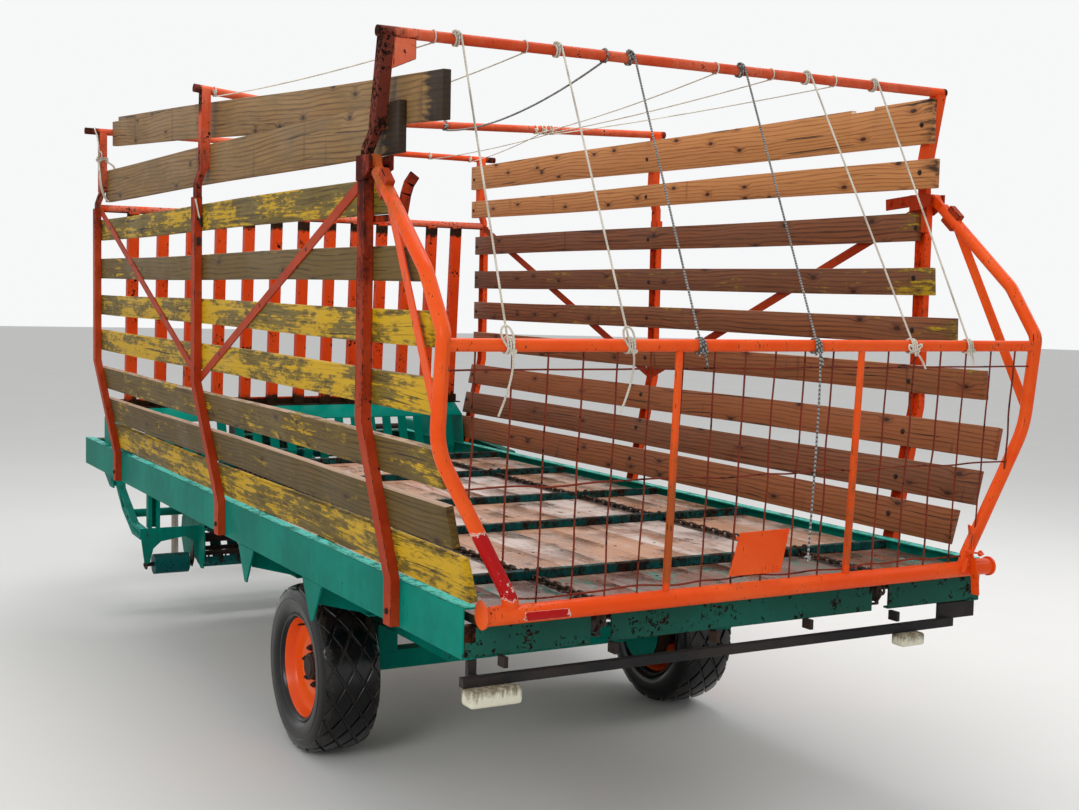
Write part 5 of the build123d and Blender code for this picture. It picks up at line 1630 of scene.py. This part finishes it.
@dataclass
class Rigging:
    """The ropes: six that hold the gate, and those that run forward under the hoops."""

    rope_r: float = 0.0042
    braid_r: float = 0.0043
    thin_r: float = 0.0028
    tube_r: float = 18.0
    bar_r: float = 20.0
    rear: tuple[float, float] = (420.0, 2729.0)
    rear_rise: float = 7.0
    half: float = 1250.0
    mid_y: float = 2412.0
    mid_hoop: tuple[tuple[float, float], ...] = ((-1230, 2768), (-369, 2685), (1230, 2742))
    front: tuple[float, float] = (4400.0, 2754.0)
    bar: tuple[float, float] = (-98.0, 1757.0)
    gate: tuple[tuple[float, float, bool], ...] = (
        (-923, -1012, False), (-549, -589, False), (-261, -322, True), (214, 151, True), (520, 580, False),
        (849, 848, False))
    forward: tuple[tuple[float, float, float, bool], ...] = (
        (-1000, -1135, 20, False), (-667, -600, 25, False), (-353, -18, 75, True), (112, 470, 20, False),
        (362, 520, 15, False), (657, 560, 12, False))
    onward: tuple[tuple[float, float], ...] = ((545, 821), (500, 1100))
    rear_end: float = SHIFT_Y - 0.1215
    pace: float = 2.2
    long_ends: tuple[tuple[Point, ...], ...] = (
        ((2, -6, -30), (-10, -4, -60), (-22, 2, -60), (-14, 6, -40)),
        ((-20, -14, 10), (-26, -6, 34), (0, 0, 30), (24, 0, 8), (22, 2, -30), (6, 8, -40)))
    bow_ends: tuple[tuple[Point, ...], ...] = (
        ((14, -8, -16), (20, -4, -24), (8, 0, -20)),
        ((-16, -10, 10), (-20, -2, 20), (-6, 0, -14), (14, 2, -18), (26, 0, 4), (26, -6, 16), (4, 4, 12),
         (-20, 0, -10)))
    short_ends: tuple[tuple[Point, ...], ...] = (
        ((3, -6, -14), (4, -2, -22), (1, 0, -12)), ((-8, -6, 6), (-12, 0, -8), (-2, 0, -12)))
    drop: tuple[Point, ...] = ((0, -8, -60), (-1, 4, -200), (-3, 10, -250), (1, 14, -190))

    def __post_init__(self) -> None:
        """Makes the twisted sections."""
        self.sections = {radius: self.section(radius, lobes) for radius, lobes in
                         ((self.rope_r, 3), (self.braid_r, 4), (self.thin_r, 3))}

    def section(self, radius: float, lobes: int) -> bpy.types.Object:
        """A rope's section.

        Args:
            radius: the rope's radius.
            lobes: the number of its strands.

        Returns:
            The section as a closed curve.
        """
        data = bpy.data.curves.new("section", "CURVE")
        spline = data.splines.new("POLY")
        count = lobes * 4
        spline.points.add(count - 1)
        for index, point in enumerate(spline.points):
            angle = math.tau * index / count
            size = radius * (0.86 + 0.14 * math.cos(lobes * angle))
            point.co = (size * math.cos(angle), size * math.sin(angle), 0.0, 1.0)
        spline.use_cyclic_u = True
        return bpy.data.objects.new("section", data)

    def twist(self, line: list[Vector], radius: float) -> bpy.types.Mesh:
        """A rope laid along a line."""
        lay = radius * 7.0
        return curve_mesh(line_points(line, lay / 6), 0.0, lay=lay, section=self.sections[radius])

    def coil(self, x: float, centre: tuple[float, float], radius: float, start: float, end: float,
             pace: float) -> list[Vector]:
        """Turns round a tube that lies along X.

        Args:
            x: where they start, in mm.
            centre: the tube's y and z, in mm.
            radius: the turns' radius, in mm.
            start: the first angle in degrees, from +Y towards +Z.
            end: the last angle.
            pace: the advance along the tube for each turn, in mm.

        Returns:
            The points.
        """
        count = max(3, int(abs(end - start) / 18))
        out = []
        for step in range(count + 1):
            angle = start + (end - start) * step / count
            turn = math.radians(angle)
            out.append(at(x + pace * (angle - start) / 360, centre[0] + radius * math.cos(turn),
                          centre[1] + radius * math.sin(turn)))
        return out

    def knot(self, place: Vector, size: float, radius: float) -> bpy.types.Mesh:
        """A tight knot: a trefoil drawn small.

        Args:
            place: its middle.
            size: its size.
            radius: the rope's radius.

        Returns:
            The mesh.
        """
        line = []
        for step in range(25):
            t = math.tau * step / 24
            line.append(place + Vector((math.sin(t) + 2 * math.sin(2 * t), -math.sin(3 * t) * 1.2,
                                        math.cos(t) - 2 * math.cos(2 * t))) * size / 3)
        return self.twist(line, radius)

    def hanging(self, place: Vector, *steps: Point) -> list[Vector]:
        """A rope's end that hangs.

        Args:
            place: where it starts.
            steps: the way from each point to the next, in mm.

        Returns:
            The points, none of them behind the wagon's rear end.
        """
        line, here = [place], place
        for step in steps:
            here = here + Vector(step) / 1000
            here.y = max(here.y, self.rear_end)
            line.append(here)
        return smooth_line(line, 0.004)

    def rear_tube(self, x: float) -> tuple[float, float]:
        """The rear hoop's y and z at a place along it."""
        return self.rear[0], self.rear[1] + self.rear_rise * x / self.half

    def gate_ropes(self) -> None:
        """The six ropes between the rear hoop and the gate's bar."""
        for index, (top_x, bar_x, grey) in enumerate(self.gate, 1):
            radius = self.braid_r if grey else self.rope_r
            gap = radius * 1000
            top = self.rear_tube(top_x)
            fall = math.degrees(math.atan2(self.bar[1] - top[1], self.bar[0] - top[0]))
            leave = fall - 90 + 360
            upper = self.coil(top_x - 22, top, self.tube_r + gap, leave - 720, leave, self.pace * gap)
            lower = self.coil(bar_x, self.bar, self.bar_r + gap, leave, leave + 800, self.pace * gap)
            mould = Mould().stamp(self.twist(upper + lower, radius))
            mould.stamp(self.knot(upper[0] + Vector((0, 0, 0.004)), 0.012, radius))
            seat = lower[-1]
            ends = self.long_ends if index < 3 else self.bow_ends if index == 5 else self.short_ends
            for steps in ends:
                mould.stamp(self.twist(self.hanging(seat, *steps), radius))
            mould.stamp(self.knot(seat + Vector((0, -0.002, 0)), 0.010 if index < 5 else 0.014, radius))
            if index == 4:
                drop = self.hanging(seat, *self.drop)
                mould.stamp(self.twist(drop, radius))
                mould.stamp(self.knot(drop[-1], 0.010, radius))
            piece = mould.emit(f"gate_rope_{index}", Slot.BRAID if grey else Slot.ROPE, "")
            run = lower[0] - upper[-1]
            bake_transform(piece, Body.CHASSIS.value, Body.GATE.value, start=upper[-1] + run * 0.06,
                     end=lower[0] - run * 0.07)

    def mid_z(self, x: float) -> float:
        """The middle hoop's height at a place along it, with its kink."""
        left, kink, right = self.mid_hoop
        return between(x, left, kink) if x < kink[0] else between(x, kink, right)

    def span(self, start: list[Vector], end: list[Vector], shares: tuple[float, ...], sag: float,
             radius: float) -> bpy.types.Mesh:
        """A rope from its turns round one tube to its turns round another.

        Args:
            start: the first turns.
            end: the last turns.
            shares: where along the run the sag is given.
            sag: how far the rope hangs there.
            radius: the rope's radius.

        Returns:
            The mesh.
        """
        low = [start[-1].lerp(end[0], share) - Vector((0, 0, sag)) for share in shares]
        run = [start[-1], *low, end[0]]
        return self.twist(start + smooth_line(run, 0.05)[1:-1] + end, radius)

    def forward_ropes(self) -> None:
        """The ropes from the rear hoop to the middle one and on to the front one."""
        white, grey = Mould(), Mould()
        for rear_x, mid_x, sag, braid in self.forward:
            radius = self.braid_r if braid else self.thin_r
            gap = radius * 1000
            pace, reach = self.pace * gap, self.tube_r + gap
            mould = grey if braid else white
            first = self.coil(rear_x - 12, self.rear_tube(rear_x), reach, 450, -90, pace)
            last = self.coil(mid_x, (self.mid_y, self.mid_z(mid_x)), reach, 270, -170, pace)
            mould.stamp(self.span(first, last, (0.35, 0.7), sag / 1000, radius))
            mould.stamp(self.knot(last[-1], 0.009, radius))
        gap = self.thin_r * 1000
        pace, reach = self.pace * gap, self.tube_r + gap
        for mid_x, front_x in self.onward:
            first = self.coil(mid_x, (self.mid_y, self.mid_z(mid_x)), reach, 270, -90, pace)
            last = self.coil(front_x, self.front, reach, 270, -170, pace)
            white.stamp(self.span(first, last, (0.5,), 0.025, self.thin_r))
            white.stamp(self.knot(last[-1], 0.010, self.thin_r))
        white.emit("forward_ropes", Slot.ROPE, Body.CHASSIS.value)
        grey.emit("forward_braid", Slot.BRAID, Body.CHASSIS.value)

    def build(self) -> None:
        """Builds the ropes."""
        self.gate_ropes()
        self.forward_ropes()
        Fittings().build(self)
        for section in self.sections.values():
            bpy.data.objects.remove(section)


@dataclass
class Fittings:
    """The small welded, bolted and tied things at the hoops, the posts and the gate."""

    gusset_box: tuple[Point, Point] = ((-1161, 402, 2606), (-1083, 438, 2706))
    ear_line: tuple[Point, Point] = ((1154, 520, 2314), (1154, 662, 2304))
    ear_bolts: tuple[float, float] = (565, 632)
    strap: tuple[Point, ...] = ((926, -88, 1104), (938, -96, 985), (956, -96, 905), (962, -96, 846))
    collar: tuple[Point, Point] = ((906, -96, 1010), (984, -96, 996))
    tongue: tuple[Point, Point] = ((914, -93, 985), (908, -84, 930))
    catch_bolts: tuple[tuple[float, float], ...] = ((929, 1080), (961, 868), (916, 1008), (975, 998))
    stop_x: float = 1210.0
    carrier: tuple[Point, ...] = ((-1192, 500, 2138), (-1177, 466, 2138), (-1174, 302, 2138))
    bar: tuple[Point, ...] = ((-1171, 300, 2130), (-1158, 300, 2209), (-1148, 300, 2241), (-1130, 300, 2268))
    claw: tuple[Point, ...] = ((19, 4, 2206), (21, 5, 2186), (29, 6, 2170), (41, 6, 2170), (46, 6, 2184))
    start: tuple[Point, ...] = ((-1222, 4400, 2776), (-1226, 4384, 2764), (-1216, 4372, 2730),
                                (-1208, 4370, 2680), (-1206, 4369, 2640))
    bows: tuple[tuple[Point, ...], ...] = (
        ((-8, -20, 24), (-6, -50, 22), (0, -50, -6), (4, -10, -26), (4, 40, -18), (4, 60, 0)),
        ((-6, -14, -14), (-8, -40, -14), (0, -30, -24), (2, 14, -22), (4, 36, 20), (4, 30, 40)))
    drops: tuple[tuple[float, float], ...] = ((0, 2366), (-26, 2364))
    turns_z: float = 2616.0
    pitch: float = 9.0
    post_x: float = 1227.0
    mid_y: float = 2430.0
    leg_x: float = 1180.0
    leg_y: float = 4400.0
    rope_r: float = 0.0042

    def gusset(self) -> None:
        """The folded plate under the rear tube, beside the left upright."""
        mould = Mould().block(*(at(*corner) for corner in self.gusset_box))
        cut = bmesh.ops.bisect_plane(mould.bm, geom=[*mould.bm.verts, *mould.bm.edges, *mould.bm.faces],
                                     plane_co=at(-1161, 420, 2608), plane_no=(0.45, 0, -1), clear_outer=True)
        rim = [edge for edge in cut["geom_cut"] if isinstance(edge, bmesh.types.BMEdge)]
        bmesh.ops.holes_fill(mould.bm, edges=rim)
        mould.bevel(0.002)
        mould.emit("hoop_gusset", Slot.HOOP, Body.CHASSIS.value)

    def ear(self) -> None:
        """The lug ahead of the right pivot, with its bolts."""
        start, end = (at(*point) for point in self.ear_line)
        mould = Mould().stick(start, end, 0.046, 0.008, math.radians(90))
        mould.bevel(0.002)
        for y in self.ear_bolts:
            mould.stamp(bolt_mesh(0.018, 0.008, 0.013), aim(at(1150, y, 2311), Vector((-1, 0, 0))))
        mould.emit("pivot_ear", Slot.POST, Body.CHASSIS.value)

    def catch(self) -> None:
        """The strap over the gate's lower tube with its collar, and the stops on both arms."""
        mould = Mould()
        for start, end in zip(self.strap, self.strap[1:]):
            mould.stick(at(*start), at(*end), 0.036, 0.007)
        mould.stick(*(at(*point) for point in self.collar), 0.030, 0.006)
        mould.stick(*(at(*point) for point in self.tongue), 0.016, 0.016)
        mould.bevel(0.0014)
        head = bolt_mesh(0.018, 0.008, 0.012)
        for x, z in self.catch_bolts:
            mould.stamp(head, aim(at(x, -97, z), Vector((0, -1, 0))))
        mould.emit("gate_catch", Slot.GATE, Body.GATE.value)
        stop = Mould()
        for x in (-self.stop_x, self.stop_x):
            stop.stick(at(x, 372, 2264), at(x, 318, 2218), 0.030, 0.076)
        stop.bevel(0.003)
        stop.emit("gate_stop", Slot.POST, Body.GATE.value)

    def lever(self) -> None:
        """The bent flat bar inside the rear left post, and the arm that carries it."""
        mould = Mould()
        for start, end in zip(self.bar, self.bar[1:]):
            lap = (at(*end) - at(*start)).normalized() * 0.004
            mould.stick(at(*start) - lap, at(*end) + lap, 0.007, 0.036)
        for start, end in zip(self.carrier, self.carrier[1:]):
            mould.stick(at(*start), at(*end), 0.006, 0.022)
        mould.bevel(0.0018)
        soil_and_shade = mould.points("soil_and_shade")
        for vert in mould.bm.verts:
            vert[soil_and_shade] = 0.5
        mould.emit("post_lever", Slot.POST, Body.CHASSIS.value)

    def hook(self) -> None:
        """The pale strap and the small iron hook on the middle left post."""
        x, y = 2 - self.post_x, self.mid_y - 32
        strap = Mould().stick(at(x, y, 2290), at(x + 20, y, 2198), 0.017, 0.005).bevel(0.001)
        strap.emit("hook_strap", Slot.ROPE, Body.CHASSIS.value)
        line = [at(x + along, y - back, z) for along, back, z in self.claw]
        mould = Mould().stamp(curve_mesh(smooth_line(line, 0.008), 0.006, sides=2))
        mould.block(at(x + 8, y - 5, 2197), at(x + 30, y + 3, 2211))
        mould.block(at(x + 6, y - 3, 2090), at(x + 24, y + 3, 2124))
        mould.emit("side_hook", Slot.IRON, Body.CHASSIS.value)

    def binding(self, rigging: Rigging) -> None:
        """The rope that ties the upper boards to the front left upright.

        Args:
            rigging: what twists the ropes.
        """
        gap = self.rope_r * 1000
        wide, deep = 20 + gap, 25 + gap
        corners = [(-1, -1), (-1, 1), (1, 1), (1, -1)]
        line = [at(*point) for point in self.start]
        for turn in range(3):
            for index, (x, y) in enumerate(corners):
                high = self.turns_z - self.pitch * (turn + index / 4)
                line.append(at(-self.leg_x + x * wide, self.leg_y + y * deep, high))
        mould = Mould().stamp(rigging.twist(line_points(line, 0.01), self.rope_r))
        seat = at(-1207, 4367, 2592)
        for steps in self.bows:
            mould.stamp(rigging.twist(rigging.hanging(seat, *steps), self.rope_r))
        mould.stamp(rigging.knot(seat, 0.015, self.rope_r))
        for shift, low in self.drops:
            under = ((-1207, 4366, 2540), (-1204, 4364, 2450), (-1176, 4362, low + 12), (-1150, 4361, low),
                     (-1124, 4360, low + 10), (-1120, 4360, 2480), (-1122, 4362, 2566), (-1140, 4364, 2574))
            drop = [seat, *(at(x, y + shift, z) for x, y, z in under), at(-1168, 4372, 2590)]
            mould.stamp(rigging.twist(smooth_line(drop, 0.01), self.rope_r))
        mould.emit("board_binding", Slot.ROPE, Body.CHASSIS.value)

    def clips(self) -> None:
        """The cable clips along the light bar."""
        mould = Mould()
        low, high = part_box("light_bar")
        for index in range(0, int((high.x - low.x - 0.3) / 0.1) + 1, 4):
            seat_z = high.z - 0.028 + 0.006 * math.sin(index * 2.3)
            place = Vector((low.x + 0.15 + 0.1 * index, (low.y + high.y) / 2, seat_z))
            mould.block(place - Vector((0.007, 0.022, 0.004)), place + Vector((0.007, 0.022, 0.030)))
        mould.emit("light_clips", Slot.IRON, Body.CHASSIS.value)

    def build(self, rigging: Rigging) -> None:
        """Builds the fittings.

        Args:
            rigging: what makes the binding's rope.
        """
        self.gusset()
        self.ear()
        self.catch()
        self.lever()
        self.hook()
        self.clips()
        self.binding(rigging)


@dataclass
class Driveline:
    """The screws, splines and covers of the drive, and the bolts of the hitch."""

    front_y: float = 5320.0
    shaft_z: float = 915.0
    stub_r: float = 17.5
    case_out: float = 1193.0
    case_low: tuple[tuple[float, float], ...] = ((3890.0, 815.0), (5470.0, 860.0))
    case_top: tuple[tuple[float, float], ...] = ((3890.0, 945.0), (4600.0, 1000.0), (5470.0, 1015.0))
    screw_in: float = 16.0
    eye_plate: tuple[float, float] = (6818.0, 775.0)
    cover_z: float = 1018.0

    def gearbox(self) -> None:
        """The gearbox's cover, flange and plug."""
        mould, head = Mould(), bolt_mesh(0.017, 0.008, 0.012)
        y, z = self.front_y, self.shaft_z
        mould.block(at(-82, y + 30, 1010), at(82, y + 180, self.cover_z)).bevel(0.002)
        for x in (-68, 68):
            for gap in (44, 166):
                mould.stamp(head, Matrix.Translation(at(x, y + gap, self.cover_z)))
            for high in (820, 990):
                mould.stamp(head, aim(at(x * 1.25, y + 210, high), Vector((0, 1, 0))))
        mould.stamp(bolt_mesh(0.026, 0.012, 0.017), Matrix.Translation(at(0, y + 105, self.cover_z)))
        for index in range(6):
            angle = math.tau * index / 6
            place = at(46 * math.cos(angle), y + 250, z + 46 * math.sin(angle))
            mould.stamp(bolt_mesh(0.013, 0.006), aim(place, Vector((0, 1, 0))))
        mould.emit("gearbox_cover", Slot.IRON, Body.CHASSIS.value)

    def splines(self) -> None:
        """The ribs along the power stub."""
        mould, y = Mould(), self.front_y
        for index in range(6):
            angle = math.tau * index / 6
            reach = self.stub_r - 1.0
            x, z = reach * math.cos(angle), self.shaft_z + reach * math.sin(angle)
            mould.stick(at(x, y + 262, z), at(x, y + 328, z), 0.0056, 0.0056, angle)
        mould.bevel(0.0006)
        mould.emit("stub_splines", Slot.PIN, Body.CHASSIS.value)

    def case(self) -> None:
        """The screws round the chain case's cover."""
        mould, head = Mould(), bolt_mesh(0.013, 0.006, 0.010)
        (rear, _), (front, _) = self.case_low
        heel, knee, toe = self.case_top
        for index in range(10):
            y = rear + 20 + (front - rear - 30) * index / 9
            low = between(y, *self.case_low)
            top = between(y, heel, knee) if y < knee[0] else between(y, knee, toe)
            for z in (low + self.screw_in, top - self.screw_in):
                mould.stamp(head, aim(at(self.case_out, y, z), Vector((1, 0, 0))))
        mould.emit("case_screws", Slot.PIN, Body.CHASSIS.value)

    def hitch(self) -> None:
        """The bolts of the hitch eye's plate."""
        mould, head = Mould(), bolt_mesh(0.024, 0.012, 0.018)
        y, z = self.eye_plate
        for x in (-66, 66):
            for high in (-38, 38):
                mould.stamp(head, aim(at(x, y, z + high), Vector((0, 1, 0))))
        mould.emit("hitch_bolts", Slot.IRON, Body.CHASSIS.value)

    def build(self) -> None:
        """Builds the fittings."""
        self.gearbox()
        self.splines()
        self.case()
        self.hitch()


@dataclass
class Studio:
    """The pale floor, the soft lamps and the camera at the photograph's angle."""

    eye: Point = (-2.9866, -7.28714, 1.9075)
    yaw: float = 0.513
    pitch: float = 0.077
    roll: float = 0.022
    lens: float = 47.8
    sky: float = 0.62
    sky_tint: tuple[float, ...] = (0.97, 0.985, 1.0, 1.0)
    sky_shown: tuple[float, ...] = (0.93, 0.935, 0.94, 1.0)
    lamps: tuple[tuple[Point, float, float], ...] = (
        ((0.5, -1.0, 7.5), 6.0, 330.0), ((-6.5, -6.5, 4.5), 3.5, 170.0), ((6.5, -3.0, 5.0), 3.5, 90.0))

    def camera(self) -> None:
        """The camera."""
        ahead = Vector((math.sin(self.yaw) * math.cos(self.pitch), math.cos(self.yaw) * math.cos(self.pitch),
                        -math.sin(self.pitch)))
        level = Vector((math.cos(self.yaw), -math.sin(self.yaw), 0.0))
        rise = level.cross(ahead)
        right = level * math.cos(self.roll) + rise * math.sin(self.roll)
        up = rise * math.cos(self.roll) - level * math.sin(self.roll)
        data = bpy.data.cameras.new("camera")
        data.lens, data.sensor_width, data.sensor_fit = self.lens, 36.0, "HORIZONTAL"
        camera = bpy.data.objects.new("camera", data)
        camera.matrix_world = Matrix.Translation(self.eye) @ Matrix((right, up, -ahead)).transposed().to_4x4()
        bpy.context.scene.collection.objects.link(camera)
        bpy.context.scene.camera = camera

    def world(self) -> None:
        """A soft sky that shows white behind the object."""
        world = bpy.data.worlds.new("sky")
        world.use_nodes = True
        nodes, links = world.node_tree.nodes, world.node_tree.links
        nodes.clear()
        path = nodes.new("ShaderNodeLightPath")
        seen = path.outputs["Is Camera Ray"]
        for name in ("Is Glossy Ray", "Is Transmission Ray"):
            most = nodes.new("ShaderNodeMath")
            most.operation = "MAXIMUM"
            links.new(seen, most.inputs[0])
            links.new(path.outputs[name], most.inputs[1])
            seen = most.outputs[0]
        soft, shown, mix = (nodes.new(kind) for kind in ("ShaderNodeBackground", "ShaderNodeBackground",
                                                         "ShaderNodeMixShader"))
        soft.inputs["Color"].default_value = self.sky_tint
        soft.inputs["Strength"].default_value = self.sky
        shown.inputs["Color"].default_value = self.sky_shown
        links.new(seen, mix.inputs[0])
        links.new(soft.outputs[0], mix.inputs[1])
        links.new(shown.outputs[0], mix.inputs[2])
        links.new(mix.outputs[0], nodes.new("ShaderNodeOutputWorld").inputs["Surface"])
        bpy.context.scene.world = world

    def build(self) -> None:
        """Builds the studio."""
        self.camera()
        self.world()
        for index, (place, size, power) in enumerate(self.lamps):
            data = bpy.data.lights.new(f"softbox_{index}", "AREA")
            data.shape, data.size, data.energy = "DISK", size, power
            lamp = bpy.data.objects.new(f"softbox_{index}", data)
            lamp.matrix_world = aim(Vector(place), Vector(place) - Vector((0, 0, 1.0)))
            bpy.context.scene.collection.objects.link(lamp)
        mould = Mould()
        bmesh.ops.create_circle(mould.bm, cap_ends=True, segments=64, radius=60.0)
        mould.emit("pale_floor", Slot.FLOOR, "")
        bpy.context.scene.view_settings.view_transform = "Standard"


def main() -> None:
    """Builds the wagon's dressed parts in the studio."""
    logging.basicConfig(level=logging.INFO, format="%(message)s")
    Studio().build()
    Steelwork().build()
    Bodywork().build()
    LoadFloor().build()
    FrontWall().build()
    Gate().build()
    Rigging().build()
    Driveline().build()
    Wheel(-1).build()
    Wheel(1).build()
    mould = Mould("lamps").bevel(0.012, 3)
    dress(mould, "lamps")


if __name__ == "__main__":
    main()
